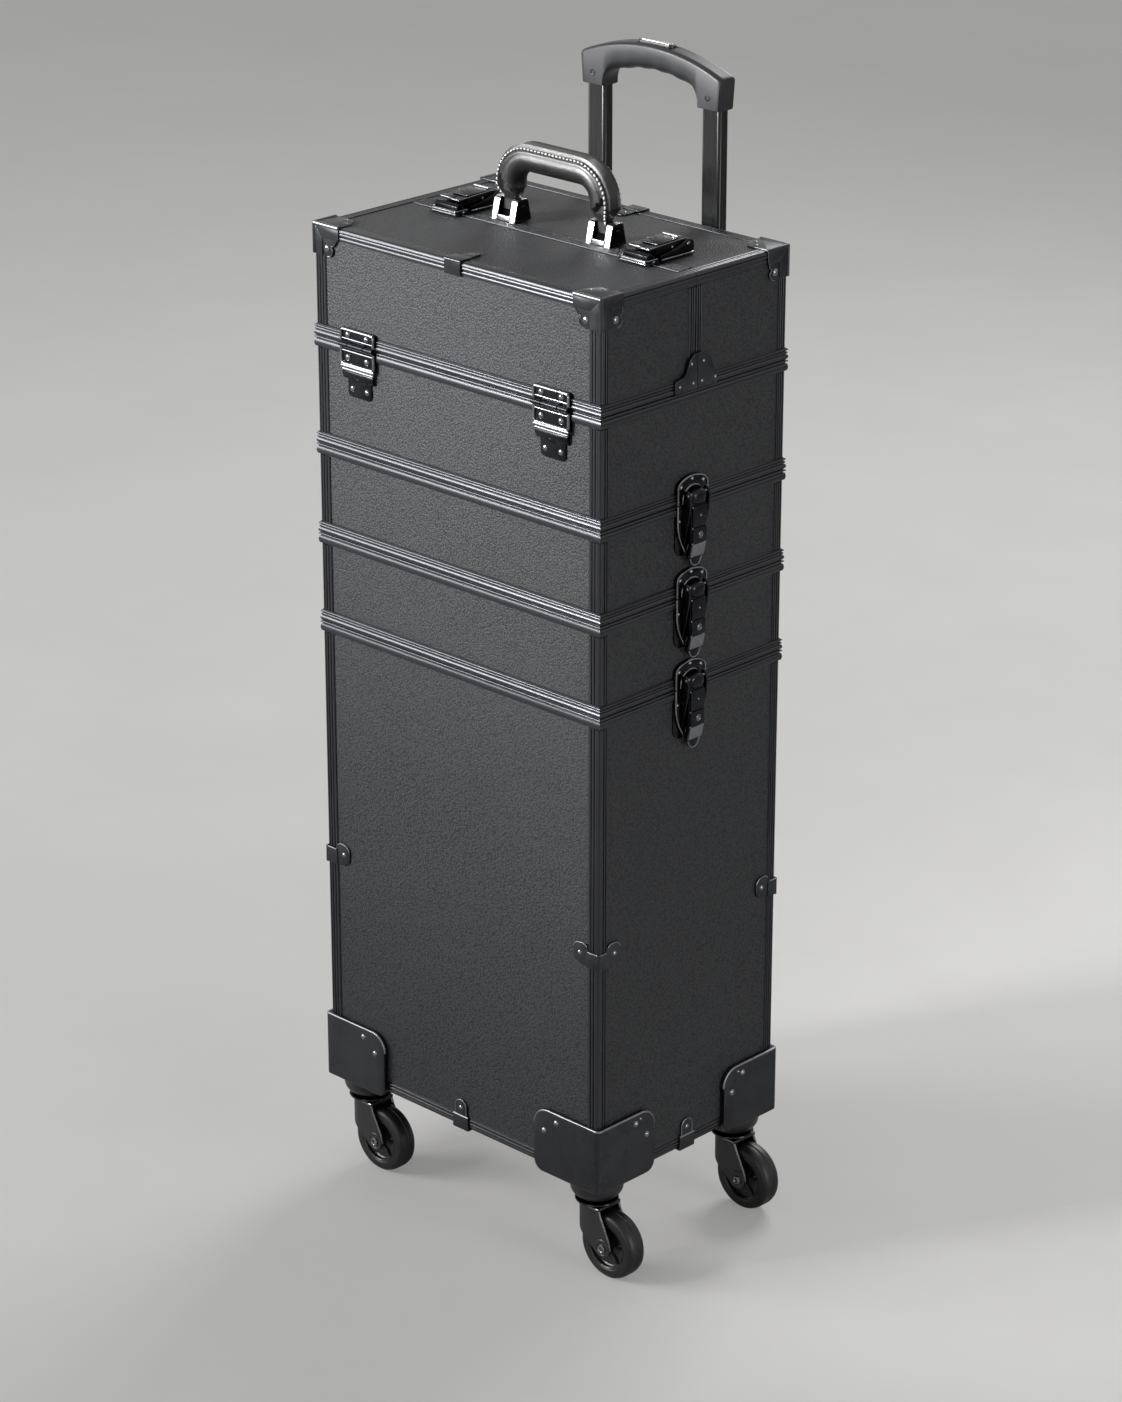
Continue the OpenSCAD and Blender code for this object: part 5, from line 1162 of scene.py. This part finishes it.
def handle_reach(turn, z):
    """Reach of the leather at an angle from the outer side, so high up a leg.

    A strap, thin and flat, runs down to the pivot, and the thick pad ends above it.
    """
    away = abs(turn)
    side = math.radians(away)
    c, s = abs(math.cos(side)), abs(math.sin(side))
    pad = GRIP_R
    if away < 62:
        # flat band on the outer side, edged by a raised rim, a groove and a lip
        flat = min(12.9 / max(math.cos(side), 0.2), 14.2)
        rim, groove, lip = [depth * math.exp(-((away - middle) / wide) ** 2)
                            for depth, middle, wide in ((0.9, 25, 4.5), (-1, 34, 4), (0.8, 44, 5))]
        fade = clamp((away - 30) / 24)
        pad = (flat + rim) * (1 - fade) + GRIP_R * fade + groove + lip
    strap = 1 / ((c / STRAP_WIDE) ** 5 + (s / STRAP_THICK) ** 5) ** 0.2
    # the pad ends in a curve that hangs lowest on the outer side
    end = 28 + 17 * max(0, 1 - away / 115)
    t = clamp((z - end) / 3.2 + 0.5)
    t = t * t * (3 - 2 * t)
    if away < 50:
        t = max(t, clamp((z - 22) / 9))
    core = strap + clamp((z - 19) / 7) * (10.3 - strap) * (0.35 + 0.65 * c ** 2)
    if t > 0:
        core = min(core, pad - 1.1)
    return core + (pad - core) * t


def handle_skin():
    """Rings of the leather along the handle, and the lines of its two seams by their side."""
    rings, seams = [], {1: [], -1: []}
    for x, z, a in handle_path():
        outward = Vector((math.cos(math.radians(a)), 0, math.sin(math.radians(a))))
        level = z if abs(x) > LEG_X - BEND else GRIP_UP
        splay = math.copysign(PIVOT_X - LEG_X, x) * max(0, 1 - (z - 9) / 16)
        middle = Vector((x + splay, 0, z))
        turns = [180 - 5 * k for k in range(72)]
        points = []
        for turn, lift in [(turn, 0) for turn in turns] + [(SEAM_TURN, 0.4), (-SEAM_TURN, 0.4)]:
            way = outward * math.cos(math.radians(turn))
            way.y = math.sin(math.radians(turn))
            points.append(middle + way * (handle_reach(turn, level) + lift))
        seams[-1].append(points.pop())
        seams[1].append(points.pop())
        rings.append(points)
    return rings, seams


def stitch(maker, line, side, pitch, base):
    """Slanting stitches at an even pitch along a seam, without its two ends."""
    gone, last = 0.0, line[8]
    for here in line[9:-8]:
        step = (here - last).length
        while gone + step >= pitch:
            start = last + (here - last) * ((pitch - gone) / step)
            along = (here - last).normalized() * 1.35
            slant, lift = Vector((0, 0.35 * side, 0)), Vector((0, 0.25 * side, 0))
            a, b = start - along - slant, start + along + slant
            maker.pipe([a, a * 0.7 + b * 0.3 + lift, a * 0.3 + b * 0.7 + lift, b],
                       [0.4, 0.85, 0.85, 0.4], base, 1, steps=6)
            last, step, gone = start, (here - start).length, 0.0
        gone += step
        last = here


def handle_bracket(maker, foot):
    """Bracket of the handle: foot plate, stop block, two cheeks with rivets, and the pin."""
    maker.slab(box_outline(-14.2, -10.4, 14.2, 10.4, 1.5), 0, 2, foot, soft=0.5)
    maker.slab([(-10.5, 0.2, 0), (-10.5, 5.3, 1.2), (-7.6, 5.3, 0.8), (-7.6, 0.2, 0)],
               -8, 8, foot @ ACROSS, soft=0.3)
    for side in (-1, 1):
        cheek = [(-10.5, 0, 0), (10.5, 0, 0), (6.4, 19.5, 3.2), (-6.4, 19.5, 3.2)]
        maker.slab(cheek, -3.6, 3.6, foot @ at(side * 10.5) @ ACROSS, soft=0.7, steps=3)
        maker.rivet(2.1, 0.45, foot @ at(side * 14.0, 0, PIVOT_UP) @ turned(90 * side, "Y"), 0)
    maker.pin(2, 12, foot @ at(0, 0, PIVOT_UP) @ SIDEWAYS, steps=20)


class CASE_OT_handle(bpy.types.Operator):
    """Cover the carry handle in stitched leather and set it in its bright brackets"""
    bl_idname = "case.handle"
    bl_label = "Carry handle"

    def execute(self, context):
        pitch = context.scene.case_sizes.stitch_pitch
        base = on_lids(0, HANDLE_Y)
        rings, seams = handle_skin()
        grip = Maker()
        grip.loft(rings, base)
        for side, line in seams.items():
            stitch(grip, line, side, pitch, base)
        made = grip.piece("handle_leather", ("leather", "thread"), "handle",
                          replaces="carry_handle", slot="leather")
        brackets = Maker()
        for side in (-1, 1):
            handle_bracket(brackets, on_lids(side * PIVOT_X, HANDLE_Y))
        # painted highlight: faces that look forward or up get bright nickel, all others black
        # nickel
        brackets.piece("handle_bracket_set", ("nickel", "bright"), "rear_lid",
                       replaces="handle_brackets", slot="bright",
                       pick=lambda face: int(face.normal.y < -0.75 or face.normal.z > 0.9))
        return {"FINISHED"}


# Floor brackets: X and Y inward from the outer corner, Z up. Reach along the front and the
# side, reach above and below the foot of the bin, thickness of the plates' standoff
BRACKET_W = 74
BRACKET_D = 68
BRACKET_UP = 58
BRACKET_DOWN = 5
BRACKET_T = 4
# Radii of the fold, of the plates' upper and lower corners and of their rims
FOLD_R = 4.5
SHOULDER_R = 16
TOE_R = 9
BRACKET_RIM = 1.8


def bracket_runs(long):
    """Distances from the outer corner at which a plate of a bracket is cut into sections."""
    runs = [long * k / 22 for k in range(3, 16)]
    runs += [long - SHOULDER_R + SHOULDER_R * math.sin(math.radians(a)) for a in range(0, 91, 9)]
    return sorted({round(run, 3) for run in runs + [FOLD_R + 0.01] if run >= FOLD_R})


def bracket_edges(run, long):
    """Top and bottom of a bracket's plate at a distance from the outer corner."""
    past = max(0, run - long + SHOULDER_R)
    top = BRACKET_UP - SHOULDER_R + math.sqrt(max(0, SHOULDER_R ** 2 - past ** 2))
    past = max(0, run - long + TOE_R)
    return top, TOE_R - BRACKET_DOWN - math.sqrt(max(0, TOE_R ** 2 - past ** 2))


def floor_bracket(maker, base):
    """Drawn steel bracket round a bottom corner: two plates, a round fold, rolled rims."""
    t, rim_r = BRACKET_T, BRACKET_RIM
    wide, deep = BRACKET_W + t, BRACKET_D + t
    # each station has its place, the direction outward, the top and the bottom
    stations = [((run, 0), (0, -1), *bracket_edges(run, wide)) for run in bracket_runs(wide)[::-1]]
    for k in range(1, 8):
        a = math.radians(90 * k / 8)
        stations.append(((FOLD_R - FOLD_R * math.sin(a), FOLD_R - FOLD_R * math.cos(a)),
                         (-math.sin(a), -math.cos(a)), *bracket_edges(FOLD_R, BRACKET_W)))
    stations += [((0, run), (-1, 0), *bracket_edges(run, deep)) for run in bracket_runs(deep)]
    rings, rim = [], []
    for (x, y), (out_x, out_y), top, low in stations:
        profile = [(0.05, low), (0.05, top), *arc(t - rim_r, top - rim_r, rim_r, 90, 0, 5),
                   *arc(t - rim_r, low + rim_r, rim_r, 0, -90, 5)]
        rings.append([(x - out_x * (t - d), y - out_y * (t - d), z) for d, z in profile])
        rim.append((x - out_x * 1.15, y - out_y * 1.15, top - 1.1))
    maker.loft(rings, base)
    # painted highlight: the pale panel colour along the top of the bracket
    maker.pipe(rim, 1.15, base, 1, steps=12)
    floor = box_outline(t, t, t + BRACKET_W - 12, t + BRACKET_D - 12, 3)
    maker.slab(floor, -1.6, 0, base, soft=0.3)


# Middle of the clips on the bin's posts
CLIP_Z = BIN_Z + (SEAM_LOW - BIN_Z) / 2


def post_clip(maker, corner):
    """Clip round a post: a round fold and two plates that rise to a riveted ear."""
    for plate, ear in ((corner @ UPRIGHT, 22), (corner @ FLIP_X @ ACROSS, 19)):
        outline = rounded([(0.2, -11.8, 0), (ear - 1, -10.2, 6), (ear + 7.4, -6.5, 8),
                           (ear + 7.4, 9.6, 7.4), (ear - 6.5, 10.2, 5.5), (ear - 10.5, 3.6, 5),
                           (0.2, 3.6, 0)])
        maker.slab(outline, -1.2, 0.7, plate, soft=0.35)
        maker.slab([(0.2, -11.8, 0), (ear - 8, -11.1, 1), (ear - 8, 4.6, 2), (ear - 11, 3.6, 2),
                    (0.2, 3.6, 0)], 0, 1.5, plate)
        # painted highlight: only the upper part of the ear's outline is in the pale panel colour
        maker.rim([(x, y) for x, y in outline if y > 3 and x > ear - 9], 0.7, 0.5, plate)
    maker.pipe([(0.35, 0.35, -11.8), (0.35, 0.35, 3.6)], 1.9, corner, steps=20)
    # painted highlight: a pale line along the top of the strap round the corner
    maker.rim([(12, -1.1), (2, -1.1), (0.2, -0.9), (-0.9, 0.2), (-1.1, 2), (-1.1, 9)], 3.3, 0.5,
              corner)


def foot_clip(maker, base):
    """Clip over the middle of a foot edge with a round riveted ear."""
    maker.slab(box_outline(-9.5, -1.4, 9.5, 11.8, 0.8), 0, 1.5, base)
    maker.slab(box_outline(-9.5, -1.55, 9.5, -0.3, 0.2), -11, 1.2, base, soft=0.2)
    ear = rounded([(-6.8, 10.5, 0), (-6.8, 27.4, 6.6), (6.8, 27.4, 6.6), (6.8, 10.5, 0)])
    maker.slab(ear, -1.2, 0.7, base, soft=0.35)
    # painted highlight: the ear's outline and the fold line are in the pale panel colour
    maker.rim(ear, 0.65, 0.5, base)
    maker.rim([(-9.2, 11.4), (9.2, 11.4)], 0.4, 1.15, base, steps=14)


class CASE_OT_hardware(bpy.types.Operator):
    """Press the floor brackets and clips and finish the caster cups and the rivets"""
    bl_idname = "case.hardware"
    bl_label = "Hardware"

    def execute(self, context):
        soft = context.scene.case_sizes.sheet_edge
        brackets, clips = Maker(), Maker()
        for a in (-1, 1):
            for b in (-1, 1):
                floor_bracket(brackets, at(a * (HALF_W + BRACKET_T), b * (HALF_D + BRACKET_T),
                                           BIN_Z) @ mirrored(a, b))
                post_clip(clips, at(a * HALF_W, b * HALF_D, CLIP_Z) @ mirrored(a, b))
        for k in range(4):
            out = HALF_W if k % 2 else HALF_D
            foot_clip(clips, turned(90 * k) @ at(0, -out, BIN_Z) @ SIDE_UP)
        brackets.piece("floor_brackets", ("plate", "panel"), "bin", replaces="corner_brackets",
                       slot="hardware")
        clips.piece("post_and_foot_clips", ("plate", "panel"), "bin", replaces="edge_clips",
                    slot="hardware")
        dress("caster_seats", "enamel", soft=soft)
        dress("bin_rivets", "rivet", soft=0.25)
        return {"FINISHED"}


# Casters: X along the trail, Z up from the floor, the swivel axis at X = 0. Trail, radius of
# the wheel, half the width of the fork, its sheet and the top of its cheeks over the axis
TRAIL = 20
WHEEL_R = 31
FORK_HALF = 14.0
FORK_SHEET = 2.4
FORK_TOP = 67.5
# Lower and upper outline of a cheek
CHEEK_LOW = [(-17, 51), (-14.5, 45), (-10, 40.5), (-1, 35), (8, 28), (13, 24), (20, 22),
             (26.2, 24.4), (29, 31)]
CHEEK_HIGH = [(14, 68), (15.5, 62), (21, 51.5), (26, 42), (28.2, 36), (29, 31.2)]
# Places along a straight cheek at which it is cut into sections, from its nose
CHEEK_RUNS = (29, 28.6, 27.6, 26, 23.5, 20, 16.5, 14, 10.5, 7, 3.5)


def height_on(table, x):
    """Height at x on a line through the points of a table."""
    for (x0, z0), (x1, z1) in zip(table, table[1:]):
        if x <= x1:
            return z0 + (z1 - z0) * max(0, x - x0) / (x1 - x0)
    return table[-1][1]


def fork(maker, base):
    """Pressed fork: cheeks that join in a round back, top plate, raceway and axle bolt."""
    half = FORK_HALF
    walls = [(x, -half) for x in CHEEK_RUNS] + arc(0, 0, 16.6, 262.5, 97.5, 22, half)
    walls += [(x, half) for x in CHEEK_RUNS[::-1]]
    rings, lips = [], {-1: [], 1: []}
    for k, (x, y) in enumerate(walls):
        low = height_on(CHEEK_LOW, x)
        high = max(low + 0.3, FORK_TOP if x <= 14 else height_on(CHEEK_HIGH, x))
        if x > 3:
            inner = Vector((x, y - math.copysign(FORK_SHEET, y)))
        else:
            before, after = walls[k - 1], walls[k + 1]
            inward = Vector((after[1] - before[1], before[0] - after[0])).normalized()
            inner = Vector((x, y)) + inward * FORK_SHEET
        rings.append([(x, y, low), (x, y, high), (*inner, high), (*inner, low)])
        if x >= 14:
            lips[1 if y > 0 else -1].append((x - 0.3, y - math.copysign(1.1, y), high))
    maker.loft(rings, base)
    for side, lip in lips.items():
        # painted highlight: the lips along the tops of the cheeks are in the pale rivet colour
        maker.pipe(lip, 1.15, base, 2)
        edge = [(28.6, 29), (26.2, 24.9), (20, 22.6), (13, 24.7), (8, 28.6), (-1, 35.6)]
        maker.pipe([(x, side * (half - 1.2), z) for x, z in edge], 0.9, base, steps=8)
    plan = [(16.4, -14.6), *arc(0, 0, 17.2, 270, 90, 12, 14.6), (16.4, 14.6)]
    maker.slab([(x, y, 2.5 if x > 10 else 0) for x, y in plan], 65.2, 68.4, base,
               soft=1.2, steps=3)
    # painted highlight: only the forward part of the top plate's rim, below y 6, is in the pale
    # rivet colour
    maker.rim([(x * 0.965, y * 0.965) for x, y in plan if y < 6], 67.4, 1.1, base, 2, steps=10)
    maker.turn([(0, 71.7), (18.4, 71.7), (19.3, 71.3), (19.6, 70.4), (19.0, 69.3), (17.6, 68.9),
                (17.2, 68.2), (0, 68.2)], base, 1, steps=48)
    axle = base @ at(TRAIL, 0, WHEEL_R)
    for side in (-1, 1):
        out = axle @ at(0, side * half, 0) @ turned(-90 * side, "X")
        maker.turn([(8.8, -2.4), (8.8, 0.4), (8.2, 0.9), (6.4, 0.9), (5.8, 0.5), (0, 0.5)], out,
                   steps=36)
        maker.turn([(4.1, 0.4), (4.1, 1.6), (3.5, 2.3), (2.7, 2.4), (2.1, 2.0), (1.9, 0.8),
                    (0, 0.8)], out, 2, steps=28)
    maker.pin(3.9, half, axle @ turned(90, "X"), 2, steps=20)


def wheel(maker, base):
    """Wheel: tyre with a groove round its tread, on a dished hub with a bright lip."""
    tyre = [(21.6, 9.2), (22.4, 9.8), (26.6, 9.9), (28.6, 9.3), (30.2, 7.6), (30.9, 5.2),
            (WHEEL_R, 2.0), (WHEEL_R, 0.9), (30.5, 0.5), (30.3, 0)]
    hub = [(0, 10.4), (3.2, 10.4), (3.4, 10.2), (6.2, 10.2), (6.9, 9.5), (7.2, 6.4), (8.2, 5.6),
           (13, 5.0), (18.2, 5.4), (19.2, 6.2), (19.8, 9.0), (20.6, 9.7), (21.5, 9.5), (21.9, 8.4)]
    around = base @ at(TRAIL, 0, WHEEL_R) @ turned(90, "X")
    maker.turn([(r, -z) for r, z in tyre[-2::-1]] + tyre, around, 0, steps=72, closed=True)
    maker.turn([(r, -z) for r, z in hub[::-1]] + hub, around, 1, steps=56)
    # ribs of the moulded hub, five a side
    for low, high in ((-6.9, -4.6), (4.6, 6.9)):
        for k in range(5):
            maker.slab(box_outline(6.5, -1.1, 19.6, 1.1, 0.3), low, high,
                       around @ turned(72 * k + 20), 1, soft=0.35)


class CASE_OT_casters(bpy.types.Operator):
    """Build the pressed caster forks and the moulded wheels"""
    bl_idname = "case.casters"
    bl_label = "Casters"

    def execute(self, context):
        for end in ("front", "rear"):
            for side in ("right", "left"):
                name = f"{end}_{side}"
                low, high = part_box(f"caster_wheel_{name}")
                hub = CASE.inverted() @ ((low + high) / 2)
                base = at(hub.x - TRAIL, hub.y, 0)
                made = Maker()
                fork(made, base)
                made.piece(f"caster_yoke_{name}", ("enamel", "nickel", "rivet"), f"caster_{name}",
                           replaces=f"caster_fork_{name}", slot="hardware")
                made = Maker()
                wheel(made, base)
                made.piece(f"caster_roller_{name}", ("tyre", "hub"), f"caster_{name}_roller",
                           replaces=f"caster_wheel_{name}", slot="tyre")
        return {"FINISHED"}


# Trolley grip: Z up from its sockets' feet, X across. Its top, half its width and the button
# are read from the frame
_low, _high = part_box("trolley_grip")
SOCKET_Z = round(_low.z / MM, 3)
POLE_Y = (CASE.inverted() @ ((_low + _high) / 2)).y
CROWN = round((_high.z - _low.z) / MM, 3)
HALF_TOP = round((_high.x - _low.x) / MM / 2, 3)
_low, _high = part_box("trolley_button")
BUTTON_FOOT = round(_low.z / MM - SOCKET_Z, 3)
BUTTON_TOP = round((_high.z - _low.z) / MM, 3)
POLE_X = 67.5
# Inner side of the arms, height of the shoulders, radius under the bar's ends
ARM_IN = 56
SHOULDER = 28.5
ARMPIT = 9
# Half the thickness of the grip, its edge radius, half the pocket of the button
GRIP_HALF = 10
GRIP_EDGE = 1.6
POCKET_X = 20.2
POCKET_Y = 4.85
# Finger grooves under the bar: how far out they run, their pitch and depth
FINGERS_X = 42
FINGER_PITCH = 20
FINGER_DEPTH = 0.8


def grip_levels(x):
    """Height of the grip's top, of the lower edge of its front band, and of its underside."""
    across = abs(x)
    sag = CROWN - SHOULDER
    radius = (HALF_TOP ** 2 + sag ** 2) / (2 * sag)
    top = CROWN - radius + math.sqrt(radius ** 2 - across ** 2)
    if across >= ARM_IN:
        return top, 0.9, 0
    roof = CROWN - 22.5 - 0.0034 * across ** 2
    if across > ARM_IN - ARMPIT:
        t = (across - ARM_IN + ARMPIT) / ARMPIT
        roof -= ARMPIT * (1 - math.sqrt(max(0, 1 - t * t)))
    if across < FINGERS_X:
        wave = 0.5 - 0.5 * math.cos(x * math.tau / FINGER_PITCH)
        roof -= FINGER_DEPTH * wave * min(1, (FINGERS_X - across) / 6)
    t = min(1, (ARM_IN - across) / 16)
    return top, roof + 0.9 + 9.6 * math.sin(t * math.pi / 2), roof


def grip_bar(maker, base):
    """Moulded bar: front band with a chamfer along its top, rolled underside, two sockets."""
    stops = [HALF_TOP - 0.1, HALF_TOP - 0.6, HALF_TOP - GRIP_EDGE, 78, 73, 68, 63, 59,
             ARM_IN + 0.02]
    stops += [ARM_IN - ARMPIT * (1 - math.cos(math.radians(a))) for a in range(0, 91, 10)]
    stops += [44 - 1.5 * k for k in range(29)]
    stops = [x for x in stops if abs(x - POCKET_X) > 0.5] + [POCKET_X + 0.05, POCKET_X - 0.05]
    stops = sorted({round(x, 3) for x in stops if x > 0.2} | {0.0}, reverse=True)
    rings = []
    for x in [-v for v in stops] + stops[-2::-1]:
        across = abs(x)
        top, band, low = grip_levels(x)
        outer = max(0, across - HALF_TOP + GRIP_EDGE)
        tuck = GRIP_EDGE - math.sqrt(max(0, GRIP_EDGE ** 2 - outer ** 2))
        top -= tuck
        h = GRIP_HALF - tuck
        floor = BUTTON_FOOT - 3.6 if across < POCKET_X else top - 0.02
        front = [(-h, band), (-h, top - 3.2), (0.3 - h, top - 2.2), (1.4 - h, top - 0.9),
                 (2.6 - h, top - 0.25), (4.0 - h, top), (-POCKET_Y, top), (-POCKET_Y, floor)]
        ring = front + [(-y, z) for y, z in reversed(front)]
        for k in range(1, 12):
            a = math.pi * k / 12
            ring.append((h * math.cos(a), band - (band - low) * math.sin(a) ** 0.8))
        # the arms narrow a little towards their feet
        lean = max(0, across - 64) / (HALF_TOP - 64) * (HALF_TOP - POLE_X - 12.2)
        rings.append([(x - math.copysign(lean * max(0, 1 - z / 34), x), y, z) for y, z in ring])
    maker.loft(rings, base)
    for side in (-1, 1):
        screw = base @ at(side * POLE_X, -GRIP_HALF, 11) @ turned(90, "X")
        maker.turn([(2.9, -0.3), (2.9, 0.25), (2.5, 0.6), (1.5, 0.65), (1.4, 0.1), (0, 0.1)],
                   screw, 1, steps=24)


class CASE_OT_trolley(bpy.types.Operator):
    """Finish the telescopic tubes, saddles and grip"""
    bl_idname = "case.trolley"
    bl_label = "Trolley handle"

    def execute(self, context):
        for name in ("trolley_outer_tubes", "trolley_middle_tubes", "trolley_inner_tubes"):
            dress(name, "tube", soft=0.25)
        dress("trolley_saddles", "hub", soft=0.5)
        grip = Maker()
        grip_bar(grip, at(0, POLE_Y, SOCKET_Z))
        grip.piece("trolley_handgrip", ("grip", "rivet"), "trolley_upper_stage",
                   replaces="trolley_grip", slot="grip_plastic")
        # the button: a dark body under a bright cap
        button = Maker()
        here = at(0, POLE_Y, SOCKET_Z + BUTTON_FOOT)
        button.slab(box_outline(-19.8, -4.4, 19.8, 4.4, 3.6), 0, BUTTON_TOP - 0.8, here, soft=0.5)
        button.slab(box_outline(-17.8, -2.9, 17.8, 2.9, 2.4), BUTTON_TOP - 0.9, BUTTON_TOP, here, 1,
                    soft=0.4)
        button.piece("release_bar", ("button", "bright"), "trolley_release",
                     replaces="trolley_button", slot="grip_plastic")
        return {"FINISHED"}


class CASE_OT_inside(bpy.types.Operator):
    """Finish the inner trays, their arms and studs"""
    bl_idname = "case.inside"
    bl_label = "Inner trays"

    def execute(self, context):
        for end in ("front", "rear"):
            dress(f"{end}_inner_tray", "tray", soft=0.5)
            dress(f"{end}_arms", "zinc", soft=0.4)
        dress("arm_studs", "zinc", soft=0.2)
        return {"FINISHED"}


def lay_floor(scene, look):
    """Pale matt floor that runs on past the frame."""
    bm = bmesh.new()
    bmesh.ops.create_grid(bm, x_segments=8, y_segments=8, size=16)
    mesh = bpy.data.meshes.new("floor")
    bm.to_mesh(mesh)
    bm.free()
    floor = bpy.data.objects.new("floor", mesh)
    scene.collection.objects.link(floor)
    made, tree, base, place = start_material("sealed pale floor", look.floor, Roughness=0.6)
    cloud(tree, base, look.floor, place, 260, 0.97, 1.03)
    # seen by the camera the floor is a little paler, so that it meets the pale sky
    seen = add_node(tree, "ShaderNodeLightPath").outputs["Is Camera Ray"]
    lift = add_node(tree, "ShaderNodeMath", [(0, seen)], operation="MULTIPLY")
    lift.inputs[1].default_value = 0.34
    tree.links.new(lift.outputs["Value"], base.inputs["Emission Strength"])
    base.inputs["Emission Color"].default_value = (*look.floor, 1)
    mesh.materials.append(made)


def hang_sky(scene, look):
    """Camera, glossy and transmission rays see the pale sky; the rest get the dim one."""
    scene.world = bpy.data.worlds.new("studio")
    scene.world.use_nodes = True
    tree = scene.world.node_tree
    tree.nodes.clear()
    path = add_node(tree, "ShaderNodeLightPath").outputs
    seen = path["Is Camera Ray"]
    for ray in ("Is Transmission Ray", "Is Glossy Ray"):
        seen = add_node(tree, "ShaderNodeMath", [(0, seen), (1, path[ray])],
                        operation="MAXIMUM").outputs["Value"]
    dim = add_node(tree, "ShaderNodeBackground", Strength=0.18)
    dim.inputs["Color"].default_value = (0.92, 0.96, 1.0, 1)
    pale = add_node(tree, "ShaderNodeBackground", Strength=1.0)
    pale.inputs["Color"].default_value = (*look.floor, 1)
    both = add_node(tree, "ShaderNodeMixShader", [(0, seen), (1, dim.outputs["Background"]),
                                                  (2, pale.outputs["Background"])])
    add_node(tree, "ShaderNodeOutputWorld", [("Surface", both.outputs["Shader"])])


def aim(thing, spot, direction):
    """Puts a lamp or camera at a spot and turns it to look along a direction."""
    thing.location = spot
    thing.rotation_mode = "QUATERNION"
    thing.rotation_quaternion = direction.to_track_quat("-Z", "Y")


# Lamps: name, power in watts, width and height in metres, spread in degrees, place, target
LAMPS = (("key_lamp", 86, 1.4, 2.4, 180, (-3.0, -2.6, 1.9), (0, 0, 0.8)),
         ("upper_lamp", 4.6, 0.5, 0.4, 35, (-1.0, -1.9, 1.5), (0, -0.1, 0.8)),
         ("side_lamp", 8, 1.0, 1.2, 110, (3.0, 0.2, 0.8), (0, 0, 0.3)),
         ("rear_lamp", 40, 1.6, 0.8, 180, (-0.6, 2.6, 2.4), (0, 0, 0.8)),
         ("low_lamp", 8, 1.6, 0.6, 180, (0.6, -3.2, 0.5), (0, 0, 0.3)))
# Camera: place from the middle of the case in metres, turn and downward tilt in degrees
CAMERA_SPOT = Vector((2.4339, -2.4942, 1.8699))
CAMERA_YAW = 44.129
CAMERA_PITCH = 21.793


class CASE_OT_stage(bpy.types.Operator):
    """Set the floor, the lamps and the camera"""
    bl_idname = "case.stage"
    bl_label = "Stage"

    def execute(self, context):
        scene = context.scene
        lay_floor(scene, scene.case_colours)
        hang_sky(scene, scene.case_colours)
        for name, power, wide, tall, spread, spot, target in LAMPS:
            data = bpy.data.lights.new(name, "AREA")
            data.shape = "RECTANGLE"
            data.size, data.size_y = wide, tall
            data.energy = power
            data.spread = math.radians(spread)
            lamp = bpy.data.objects.new(name, data)
            scene.collection.objects.link(lamp)
            aim(lamp, spot, Vector(target) - Vector(spot))

        data = bpy.data.cameras.new("camera")
        data.lens = scene.case_sizes.lens
        data.sensor_width = 36
        camera = bpy.data.objects.new("camera", data)
        scene.collection.objects.link(camera)
        yaw, pitch = math.radians(CAMERA_YAW), math.radians(CAMERA_PITCH)
        aim(camera, MIDDLE + CAMERA_SPOT,
            Vector((-math.sin(yaw) * math.cos(pitch), math.cos(yaw) * math.cos(pitch),
                    -math.sin(pitch))))
        scene.camera = camera
        scene.view_settings.view_transform = "Standard"
        return {"FINISHED"}


STEPS = (CASE_OT_boards, CASE_OT_extrusions, CASE_OT_hardware, CASE_OT_hinges,
         CASE_OT_latches, CASE_OT_lid_corners, CASE_OT_top_latches, CASE_OT_handle,
         CASE_OT_casters, CASE_OT_trolley, CASE_OT_inside, CASE_OT_stage)


class CASE_PT_panel(bpy.types.Panel):
    """Steps that dress the rolling case"""
    bl_label = "Rolling storage case"
    bl_idname = "CASE_PT_panel"
    bl_space_type = "VIEW_3D"
    bl_region_type = "UI"
    bl_category = "Case"

    def draw(self, context):
        for group in (context.scene.case_sizes, context.scene.case_colours):
            for name in group.__annotations__:
                self.layout.prop(group, name)
        for step in STEPS:
            self.layout.operator(step.bl_idname)


CLASSES = (CaseSizes, CaseColours, *STEPS, CASE_PT_panel)


def register():
    """Registers the settings, the steps and the panel."""
    for item in CLASSES:
        bpy.utils.register_class(item)
    bpy.types.Scene.case_sizes = PointerProperty(type=CaseSizes)
    bpy.types.Scene.case_colours = PointerProperty(type=CaseColours)


def unregister():
    """Takes them away again."""
    del bpy.types.Scene.case_colours
    del bpy.types.Scene.case_sizes
    for item in reversed(CLASSES):
        bpy.utils.unregister_class(item)


def main():
    """Dresses the case."""
    register()
    for step in STEPS:
        group, name = step.bl_idname.split(".")
        getattr(getattr(bpy.ops, group), name)()


if __name__ == "__main__":
    main()
